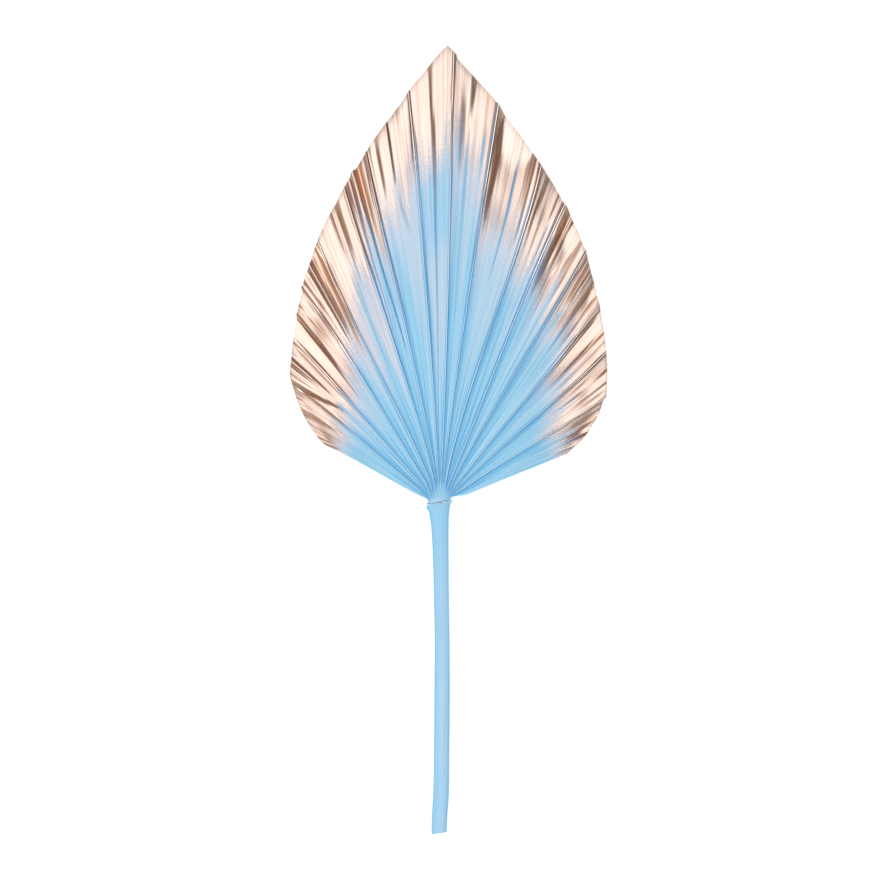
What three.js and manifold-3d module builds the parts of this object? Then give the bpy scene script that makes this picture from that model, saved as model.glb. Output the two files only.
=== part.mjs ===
// A dried fan palm leaf trimmed to a spear: a pleated blade cut to a spade outline, on a cut stalk.
// Millimetres and degrees. The leaf lies on its back on the plane z = 0, with its tip towards +Y, its stalk
// towards -Y and its upper face towards +Z. All of it is laid out from the centre of the fan, where the
// folds meet, and is moved at the end so that the origin lies under the middle of the leaf.
import * as THREE from "three";
import Module from "manifold-3d";

const wasm = await Module();
wasm.setup();

// Overall sizes.
const TIP_RADIUS = 291.2;
const TIP_BEARING = 0.94;
const STALK_END = -207.3;
const SHEET = 0.9;
const HUB_RADIUS = 6;
const SEAT_GAP = 0.3;

// The trimmed outline: bearing from the leaf's long axis (left is negative) and radius from the fan centre.
const LEFT_RIM = [
  [-62.3, 82.5], [-57, 102.8], [-47, 130], [-37, 151.5], [-27, 177.8], [-17, 209.7], [-7, 249.5],
  [TIP_BEARING, TIP_RADIUS],
];
const RIGHT_RIM = [
  [TIP_BEARING, TIP_RADIUS], [2.6, 282], [7.5, 260.8], [17.5, 221.8], [27.4, 192.9], [37.4, 165], [47.3, 144],
  [57.2, 125], [62.2, 108.8], [68, 86],
];

// Fold lines: bearing at the rim, halfway in and at a fifth of the radius. The ribs are thin raised cords.
const LEFT_EDGE = [-62.3, -62.3, -64];
const RIGHT_EDGE = [68, 68, 68.6];
const CENTRE_FOLD = [-1.45, -1.15, -1];
const RIBS = [
  [-50.8, -50.6, -52.4],
  [-42.2, -41.4, -41.7],
  [-32.4, -31.4, -32],
  [-24.8, -24.7, -23.1],
  [-16.8, -15.9, -14.3],
  [-11.9, -11, -9.3],
  [-4.35, -3.7, -3.2],
  [1.75, 2.1, 2.6],
  [8.3, 7.65, 6.9],
  [16.6, 15.9, 13],
  [22.5, 21.9, 22.4],
  [30, 29.5, 27.9],
  [38.8, 38.8, 38],
  [47.4, 47, 45.2],
  [56.9, 56.3, 54],
];
const RIB_HEIGHT = 0.65;
const RIB_HALF_WIDTH = 0.9;
const RIB_WIDEST_DEGREES = 1.6;
const RIB_FADE = [8, 24];

// Valleys of the main pleats, by their bearing at the rim, and the slope of a pleat's two sides.
const VALLEYS = [-56, -46.5, -37, -28.5, -20.8, -14, -8.7, -1.45, 4.3, 12.7, 20, 26.2, 34.5, 43, 51.8, 62];
const PLEAT_SLOPE = 5.5;

// Creases of the outer blade: bearing, width and how far in each one reaches, as a share of the radius.
const CREASES = [
  [-60.9, 1.1, 0.82], [-55, 1.6, 0.75], [-52.8, 0.8, 0.85], [-48.7, 1, 0.68], [-46.2, 1.3, 0.77],
  [-43, 0.8, 0.75], [-37.2, 0.9, 0.68], [-35.2, 0.8, 0.78], [-31, 0.8, 0.85], [-29.1, 0.9, 0.75],
  [-27.3, 1.4, 0.7], [-25.6, 0.7, 0.65], [-20.5, 0.6, 0.85], [-19, 0.6, 0.88], [-16.2, 0.6, 0.7],
  [-13.2, 0.9, 0.82], [-9.9, 0.6, 0.8], [-7.8, 0.6, 0.78], [-1.1, 0.5, 0.8],
  [3.3, 0.5, 0.78], [4.9, 0.5, 0.85], [6.9, 0.6, 0.8], [9.2, 0.9, 0.72], [12.8, 0.5, 0.9],
  [14.7, 1.3, 0.76], [18.2, 0.5, 0.9], [21, 0.5, 0.88], [23.6, 0.9, 0.78], [25.1, 0.5, 0.85],
  [26.3, 0.7, 0.7], [27.8, 0.7, 0.85], [31.9, 1.3, 0.82], [34.4, 0.9, 0.88], [36.8, 0.8, 0.8],
  [39.4, 0.5, 0.82], [43, 0.8, 0.82], [44.9, 0.9, 0.75], [49, 0.7, 0.8], [52, 0.8, 0.66],
  [53.6, 0.7, 0.85], [55.1, 0.7, 0.85], [58.7, 0.8, 0.85], [61, 1, 0.87], [63.8, 1, 0.85],
  [65.8, 0.8, 0.85],
];
const CREASE_SLOPE = 28;
const CREASE_FADE = 0.2;

// The blade's gentle dome: heights of its upper face over the surface that it lies on.
const HUB_HEIGHT = 7;
const TIP_HEIGHT = 5.6;
const SIDE_HEIGHT = 4;
const SIDE_BEARING = 70;
const DOME_RISE = 5.4;

// The two flat panels at the rim that the blade rests on: first and last bearing, and how far in they reach.
const REST_PANELS = [[-40.9, -37.9], [39.9, 42.5]];
const REST_REACH = 0.93;
const REST_BLEND_DEGREES = 2.2;
const REST_BLEND_REACH = 0.2;

// Rows of the sheet, from the hub out to the rim: plain pleats inside, creased pleats outside.
const INNER_ROWS = [0, 0.05, 0.1, 0.17, 0.26, 0.36, 0.47, 0.58];
const OUTER_ROWS = [0.65, 0.72, 0.79, 0.86, REST_REACH, 1];
const COLUMN_CLEARANCE = 0.22;

// The neck, with the smooth plate over it and the keel that runs out under the blade. Each station has its
// place along Y, half width, upper height and lower height.
const NECK = [
  [5.2, 6.5, 7.9, 1.6],
  [9, 5.3, 8.4, 2.1],
  [13, 3.8, 8.6, 3],
  [17.5, 2.2, 8.8, 3.9],
];
const NECK_FOOT = { centre: -0.3, halfWidth: 7.1, upper: 7.4, lower: 1.3 };
const KEEL = [[20.5, 1.9, 4.1], [31, 1.3, 2.5], [43, 0.7, 1.15]];
const KEEL_SUNK = 0.45;
const NECK_SIDES = 14;

// The ledge at the stalk's top: its height along Y on the long axis and its tilt.
const LEDGE_HEIGHT = 0.95;
const LEDGE_TILT = 0.12;
const CUT_TILT = 0.24;

// The stalk, from the cut end up: place along Y, middle in X, width, and height of its axis.
const STALK = [
  [STALK_END, -0.6, 9.8, 3.55],
  [-196, -0.2, 10, 3.55],
  [-184, 0.6, 10.1, 3.65],
  [-160, 1, 9.8, 4.4],
  [-124, 1.3, 9.8, 5.5],
  [-86, 1.6, 9.8, 6],
  [-60, 1, 9.8, 5.9],
  [-35, 0.6, 10.5, 5.6],
  [-20, 0.3, 11.2, 5.3],
  [-11, -0.1, 11.8, 5.15],
  [-6.5, -0.4, 12.7, 5.05],
  [-4, -0.5, 14, 5],
  [-1.6, -0.6, 14.9, 4.95],
  [LEDGE_HEIGHT, -0.6, 15.3, 4.9],
];
const STALK_UPPER = 3.3;
const STALK_LOWER = 4;
const STALK_SIDES = 20;
const STALK_FULLNESS = 0.86;

const BLUE = new THREE.Color(0x9accea);

const clamp = THREE.MathUtils.clamp;
const degrees = THREE.MathUtils.radToDeg;
const radians = THREE.MathUtils.degToRad;
const mix = THREE.MathUtils.lerp;
const smooth = THREE.MathUtils.smoothstep;

// Value at x of the straight lines that join points [x, value, ...], read from the given column.
function alongLines(points, x, column = 1) {
  let i = 1;
  while (i < points.length - 1 && points[i][0] < x) i += 1;
  const [a, b] = [points[i - 1], points[i]];
  const share = clamp((x - a[0]) / (b[0] - a[0]), 0, 1);
  return mix(a[column], b[column], share);
}

// Value at x of the smooth curve through the points [x, value].
function alongCurve(points, x) {
  let i = 1;
  while (i < points.length - 1 && points[i][0] < x) i += 1;
  const slope = (k) => {
    const before = points[Math.max(k - 1, 0)];
    const after = points[Math.min(k + 1, points.length - 1)];
    return (after[1] - before[1]) / (after[0] - before[0]);
  };
  const [a, b] = [points[i - 1], points[i]];
  const span = b[0] - a[0];
  const t = clamp((x - a[0]) / span, 0, 1);
  const s = 1 - t;
  return a[1] * s * s * (1 + 2 * t) + slope(i - 1) * span * t * s * s
    + b[1] * t * t * (1 + 2 * s) - slope(i) * span * t * t * s;
}

// Radius of the trimmed rim at a bearing.
function rimRadius(bearing) {
  return alongCurve(bearing < TIP_BEARING ? LEFT_RIM : RIGHT_RIM, bearing);
}

// Where a line that meets the rim at one bearing runs further in: the folds are not quite straight.
const FOLDS = [LEFT_EDGE, ...RIBS, CENTRE_FOLD, RIGHT_EDGE].sort((a, b) => a[0] - b[0]);
function bearingAt(rimBearing, share) {
  const middle = alongLines(FOLDS, rimBearing, 1);
  const inner = alongLines(FOLDS, rimBearing, 2);
  const f = Math.max(share, 0.12);
  const atRim = (f - 0.5) * (f - 0.2) / 0.4;
  const atMiddle = (f - 1) * (f - 0.2) / -0.15;
  const atInner = (f - 1) * (f - 0.5) / 0.24;
  return rimBearing * atRim + middle * atMiddle + inner * atInner;
}

// Main pleats: crests on the ribs and the two edges, valleys between them, deeper the further out.
const CRESTS = [LEFT_EDGE[0], ...RIBS.map((rib) => rib[0]), RIGHT_EDGE[0]];
const PLEAT_LINE = [];
CRESTS.forEach((crest, i) => {
  PLEAT_LINE.push([crest, 0]);
  if (i < VALLEYS.length) PLEAT_LINE.push([VALLEYS[i], (crest - CRESTS[i + 1]) / 2]);
});
function pleatHeight(bearing, radius) {
  return radians(alongLines(PLEAT_LINE, bearing)) * Math.tan(radians(PLEAT_SLOPE)) * radius;
}

// Creases: short steep steps between level panels. Each one steps back towards the mean level.
let level = 0;
const STEPS = CREASES.map(([bearing, width, reach]) => {
  const rise = radians(width) * Math.tan(radians(CREASE_SLOPE)) * (level > 0 ? -1 : 1);
  level += rise * rimRadius(bearing);
  return { bearing, width, reach, rise };
});
function creaseHeight(bearing, share, radius) {
  let height = 0;
  for (const step of STEPS) {
    const grown = smooth(share, step.reach - CREASE_FADE / 2, step.reach + CREASE_FADE / 2);
    const climbed = clamp((bearing - step.bearing) / step.width + 0.5, 0, 1);
    height += step.rise * radius * grown * climbed;
  }
  return height;
}

// Ribs: thin cords along the crests, which start a little way out from the hub.
function ribHeight(bearing, radius) {
  const halfWidth = Math.min(degrees(RIB_HALF_WIDTH / radius), RIB_WIDEST_DEGREES);
  let height = 0;
  for (const [rib] of RIBS) {
    height = Math.max(height, 1 - Math.abs(bearing - rib) / halfWidth);
  }
  return height * RIB_HEIGHT * smooth(radius, ...RIB_FADE);
}

// How far a spot belongs to one of the two panels that lie on the surface, from 0 to 1.
function restShare(bearing, share) {
  let rest = 0;
  for (const [first, last] of REST_PANELS) {
    const outside = Math.max(first - bearing, bearing - last, 0);
    const across = 1 - smooth(outside, 0, REST_BLEND_DEGREES);
    rest = Math.max(rest, across * smooth(share, REST_REACH - REST_BLEND_REACH, REST_REACH - 0.005));
  }
  return rest;
}

// Height of the sheet's upper face.
function sheetHeight(bearing, radius) {
  const rim = rimRadius(bearing);
  const share = radius / rim;
  const side = Math.cos(radians(90 * bearing / SIDE_BEARING)) ** 2;
  const dome = HUB_HEIGHT * (1 - share) + mix(SIDE_HEIGHT, TIP_HEIGHT, side) * share
    + 4 * DOME_RISE * (rim / TIP_RADIUS) * share * (1 - share);
  const relief = pleatHeight(bearing, radius) + creaseHeight(bearing, share, radius)
    + ribHeight(bearing, radius);
  return mix(dome + relief, SHEET, restShare(bearing, share));
}

// One spot of the sheet: a column's rim bearing and side step, and the share of the way to the rim.
function sheetPoint(column, way) {
  const radius = mix(HUB_RADIUS, rimRadius(column.bearing), way);
  const limit = RIB_WIDEST_DEGREES;
  const bearing = column.bearing + clamp(degrees(column.side / radius), -limit, limit);
  const height = sheetHeight(clamp(bearing, LEFT_EDGE[0], RIGHT_EDGE[0]), radius);
  const turned = radians(bearingAt(bearing, radius / rimRadius(column.bearing)));
  return new THREE.Vector3(radius * Math.sin(turned), radius * Math.cos(turned), height);
}

// Columns of the sheet: three along each rib, one along each valley and edge, one at the tip and at each side
// of a rest panel, and two along each crease that has room for them.
function sheetColumns() {
  const single = [LEFT_EDGE[0], RIGHT_EDGE[0], TIP_BEARING, ...VALLEYS, ...REST_PANELS.flat()];
  const columns = single.map((bearing) => ({ bearing, side: 0 }));
  for (const [bearing] of RIBS) {
    for (const side of [-RIB_HALF_WIDTH, 0, RIB_HALF_WIDTH]) columns.push({ bearing, side });
  }
  columns.forEach((column) => {
    column.main = true;
  });
  const outward = OUTER_ROWS[0];
  for (const [centre, width] of CREASES) {
    for (const bearing of [centre - width / 2, centre + width / 2]) {
      const crowded = columns.some((other) => {
        const room = Math.abs(degrees(other.side / (outward * rimRadius(bearing)))) + COLUMN_CLEARANCE;
        return Math.abs(other.bearing - bearing) < room;
      });
      if (!crowded) columns.push({ bearing, side: 0, main: false });
    }
  }
  return columns.sort((a, b) => a.bearing - b.bearing || a.side - b.side);
}

// A closed sheet from rows of points over the columns. Both faces are split into triangles alike.
function sheetGeometry() {
  const columns = sheetColumns();
  const rows = [...INNER_ROWS, ...OUTER_ROWS];
  const fineFrom = INNER_ROWS.length - 1;
  const positions = [];
  const at = rows.map((way, row) => columns.map((column) => {
    if (!column.main && row < fineFrom) return -1;
    const point = sheetPoint(column, way);
    positions.push(point.x, point.y, point.z);
    return positions.length / 3 - 1;
  }));
  const count = positions.length / 3;
  for (let i = 0; i < count; i += 1) {
    positions.push(positions[3 * i], positions[3 * i + 1], positions[3 * i + 2] - SHEET);
  }
  const faces = [];
  const bothFaces = (a, b, c) => faces.push(a, b, c, count + a, count + c, count + b);
  const wall = (a, b) => faces.push(a, count + a, b, b, count + a, count + b);
  const filled = (row) => at[row].filter((index) => index >= 0);
  rows.slice(1).forEach((_, step) => {
    const [inner, outer] = [at[step], at[step + 1]];
    let last = 0;
    for (let j = 1; j < columns.length; j += 1) {
      if (inner[j] < 0) continue;
      const rim = outer.slice(last, j + 1).filter((index) => index >= 0);
      const middle = Math.floor(rim.length / 2);
      for (let k = 1; k < rim.length; k += 1) {
        bothFaces(k <= middle ? inner[last] : inner[j], rim[k], rim[k - 1]);
      }
      bothFaces(inner[last], inner[j], rim[middle]);
      last = j;
    }
  });
  const firstRow = filled(0);
  const lastRow = filled(rows.length - 1);
  for (let j = 1; j < firstRow.length; j += 1) wall(firstRow[j - 1], firstRow[j]);
  for (let j = 1; j < lastRow.length; j += 1) wall(lastRow[j], lastRow[j - 1]);
  rows.slice(1).forEach((_, row) => {
    wall(at[row + 1][0], at[row][0]);
    wall(at[row].at(-1), at[row + 1].at(-1));
  });
  return closedGeometry(positions, faces);
}

function closedGeometry(positions, faces) {
  const geometry = new THREE.BufferGeometry();
  geometry.setAttribute("position", new THREE.Float32BufferAttribute(positions, 3));
  geometry.setIndex(faces);
  return geometry;
}

// A closed body through rings of points, each ring turning anticlockwise as seen from its +Y side.
function loft(rings) {
  const sides = rings[0].length;
  const positions = rings.flat().flatMap((point) => point.toArray());
  const faces = [];
  for (let ring = 1; ring < rings.length; ring += 1) {
    for (let i = 0; i < sides; i += 1) {
      const a = (ring - 1) * sides + i;
      const b = (ring - 1) * sides + (i + 1) % sides;
      faces.push(a, b, b + sides, a, b + sides, a + sides);
    }
  }
  const cap = (ring, flip) => {
    const middle = new THREE.Vector3();
    rings[ring].forEach((point) => middle.addScaledVector(point, 1 / sides));
    const centre = positions.length / 3;
    positions.push(...middle.toArray());
    for (let i = 0; i < sides; i += 1) {
      const a = ring * sides + i;
      const b = ring * sides + (i + 1) % sides;
      faces.push(...(flip ? [centre, b, a] : [centre, a, b]));
    }
  };
  cap(0, true);
  cap(rings.length - 1, false);
  return closedGeometry(positions, faces);
}

// An oval ring across the leaf's length, fuller than an ellipse, whose place along Y may tilt with X.
function ovalRing(sides, { along, tilt = 0, centre, halfWidth, middle, upper, lower }) {
  return Array.from({ length: sides }, (_, i) => {
    const turn = -2 * Math.PI * i / sides;
    const [c, s] = [Math.cos(turn), Math.sin(turn)];
    const x = centre + halfWidth * Math.sign(c) * Math.abs(c) ** STALK_FULLNESS;
    const depth = s > 0 ? upper - middle : middle - lower;
    const z = middle + depth * Math.sign(s) * Math.abs(s) ** STALK_FULLNESS;
    return new THREE.Vector3(x, along + tilt * x, Math.max(z, 0));
  });
}

// The neck with the smooth plate over the fan's centre, and the keel under the blade.
function neckGeometry() {
  const foot = NECK_FOOT;
  const rings = [ovalRing(NECK_SIDES, {
    along: LEDGE_HEIGHT + SEAT_GAP,
    tilt: LEDGE_TILT,
    centre: foot.centre,
    halfWidth: foot.halfWidth,
    middle: (foot.upper + foot.lower) / 2,
    upper: foot.upper,
    lower: foot.lower,
  })];
  for (const [along, halfWidth, upper, lower] of NECK) {
    rings.push(ovalRing(NECK_SIDES, {
      along, centre: 0, halfWidth, middle: (upper + lower) / 2, upper, lower,
    }));
  }
  for (const [along, halfWidth, depth] of KEEL) {
    const top = sheetHeight(0, along);
    const upper = top - KEEL_SUNK;
    rings.push(ovalRing(NECK_SIDES, {
      along, centre: 0, halfWidth, middle: top - (KEEL_SUNK + depth) / 2, upper, lower: top - depth,
    }));
  }
  return loft(rings);
}

function stalkGeometry() {
  const rings = STALK.map(([along, centre, width, axis], i) => ovalRing(STALK_SIDES, {
    along,
    tilt: [CUT_TILT, ...Array(STALK.length - 2).fill(0), LEDGE_TILT][i],
    centre,
    halfWidth: width / 2,
    middle: axis,
    upper: axis + STALK_UPPER,
    lower: axis - STALK_LOWER,
  }));
  return loft(rings);
}

function solid(geometry) {
  return new wasm.Manifold(new wasm.Mesh({
    numProp: 3,
    vertProperties: new Float32Array(geometry.attributes.position.array),
    triVerts: new Uint32Array(geometry.index.array),
  }));
}

// The sheet and the neck grew together: one body.
function bladeGeometry() {
  const joined = solid(sheetGeometry()).add(solid(neckGeometry())).getMesh();
  return closedGeometry(Array.from(joined.vertProperties), Array.from(joined.triVerts));
}

function piece(name, geometry, material) {
  geometry.computeVertexNormals();
  const mesh = new THREE.Mesh(geometry, material);
  mesh.name = name;
  return mesh;
}

const paint = (roughness) => new THREE.MeshStandardMaterial({ color: BLUE, roughness, metalness: 0 });
const leaf = new THREE.Group();
leaf.add(piece("blade", bladeGeometry(), paint(0.6)));
leaf.add(piece("petiole", stalkGeometry(), paint(0.55)));

const box = new THREE.Box3().setFromObject(leaf);
const group = new THREE.Group();
leaf.position.set(-(box.min.x + box.max.x) / 2, -(box.min.y + box.max.y) / 2, -box.min.z);
group.add(leaf);

export default group;
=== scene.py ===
"""A dried palm spear lying on a pale floor: the pleated, sprayed blade and its cut stalk.

The tables repeat the leaf's own measures in millimetres and degrees, taken from the centre of the fan where
all the folds meet. Meshes are written in metres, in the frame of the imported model.
"""
import math
from typing import NamedTuple

import bpy
import numpy as np
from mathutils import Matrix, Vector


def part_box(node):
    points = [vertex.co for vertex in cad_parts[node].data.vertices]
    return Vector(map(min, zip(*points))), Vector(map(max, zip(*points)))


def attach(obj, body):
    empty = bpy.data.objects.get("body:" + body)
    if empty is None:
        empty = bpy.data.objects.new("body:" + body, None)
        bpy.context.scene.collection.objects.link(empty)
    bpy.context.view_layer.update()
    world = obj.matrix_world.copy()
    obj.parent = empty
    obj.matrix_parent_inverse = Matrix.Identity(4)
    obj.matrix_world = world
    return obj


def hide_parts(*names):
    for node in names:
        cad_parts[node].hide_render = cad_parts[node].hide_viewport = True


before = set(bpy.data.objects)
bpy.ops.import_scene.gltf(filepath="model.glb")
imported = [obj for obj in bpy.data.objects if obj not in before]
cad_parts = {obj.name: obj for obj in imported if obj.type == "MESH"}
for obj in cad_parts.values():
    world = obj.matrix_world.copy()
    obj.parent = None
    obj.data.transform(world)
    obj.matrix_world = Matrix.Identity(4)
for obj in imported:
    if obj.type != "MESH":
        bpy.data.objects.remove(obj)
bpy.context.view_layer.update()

MM = 0.001

SEED = 11  # of the random draws
WORN_SEED = SEED + 3
FIBRE_SEED = SEED + 5
STREAK_SEED = SEED + 40
FINE_SEED = SEED + 60

# The leaf in millimetres and degrees: left of the long axis is negative.
TIP_RADIUS = 291.2
TIP_BEARING = 0.94
FAN_CENTRE_BELOW_TIP = 291.16
FAN_CENTRE_LEFT_OF_MIDDLE = 5.74
SHEET = 0.6
LEFT_RIM = [(-62.3, 82.5), (-57, 102.8), (-47, 130), (-37, 151.5), (-27, 177.8), (-17, 209.7),
            (-7, 249.5), (TIP_BEARING, TIP_RADIUS)]
RIGHT_RIM = [(TIP_BEARING, TIP_RADIUS), (2.6, 282), (7.5, 260.8), (17.5, 221.8), (27.4, 192.9),
             (37.4, 165), (47.3, 144), (57.2, 125), (62.2, 108.8), (68, 86)]

# Fold lines: bearing at the rim, halfway in and at a fifth of the radius. Innermost, they are straight.
MIDDLE_SHARE = 0.5
INNER_SHARE = 0.2
INNERMOST_SHARE = 0.12
LEFT_EDGE = (-62.3, -62.3, -64)
RIGHT_EDGE = (68, 67.6, 67.6)
CENTRE_FOLD = (-1.45, -1.15, -1)
RIBS = [(-50.8, -50.6, -52.4), (-42.2, -41.4, -41.7), (-32.4, -31.4, -32), (-24.8, -24.7, -23.1),
        (-16.8, -15.9, -14.3), (-11.9, -11, -9.3), (-4.35, -3.7, -3.2), (1.75, 2.1, 2.6),
        (8.3, 7.65, 6.9), (16.6, 15.9, 13), (22.5, 21.9, 22.4), (30, 29.5, 27.9), (38.8, 38.8, 38),
        (47.4, 47, 45.2), (56.9, 56.3, 54)]

# The ribs, in millimetres and degrees. The groove beside a rib is in shares of its height and half width.
RIB_HEIGHT = 0.4
RIB_HALF_WIDTH = 0.72
RIB_CREST = 0.38
RIB_WIDEST = 1.5
RIB_FADE = (4, 10)
GROOVE_DEPTH = 0.2
GROOVE_PLACE = 1.2
GROOVE_WIDTH = 0.3

# The large pleats: valleys, slope in degrees, and how they change at the hub and the rim.
VALLEYS = [-56, -46.5, -37, -28.5, -20.8, -14, -8.7, -1.45, 4.3, 12.7, 20, 26.2, 34.5, 43, 51.8, 62]
PLEAT_SLOPE = 5.5
HUB_PLEAT_GAIN = 3.0
HUB_PLEAT_SHARES = (0.03, 0.4)
RIM_PLEAT_LOSS = 0.3
RIM_PLEAT_SHARES = (0.65, 0.9)


class Fold(NamedTuple):
    """A steep facet of the folded sheet, in degrees of bearing and shares of the radius."""
    bearing: float
    width: float
    tilt: float         # above 0 it faces away from the centre line
    inner: float        # where it ends on the way in
    turn: float         # where blue takes over from copper
    outer: float = 1.2  # where it starts
    swing: float = 0    # how far its line swings on the way in
    # The next field is a painted reflection: copper lit orange by the copper facing it.
    reflected_glow: float = 0     # how warm its copper glows
    edge: int = 0       # its sharp edge: -1 left, 1 right, 0 neither


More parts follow.
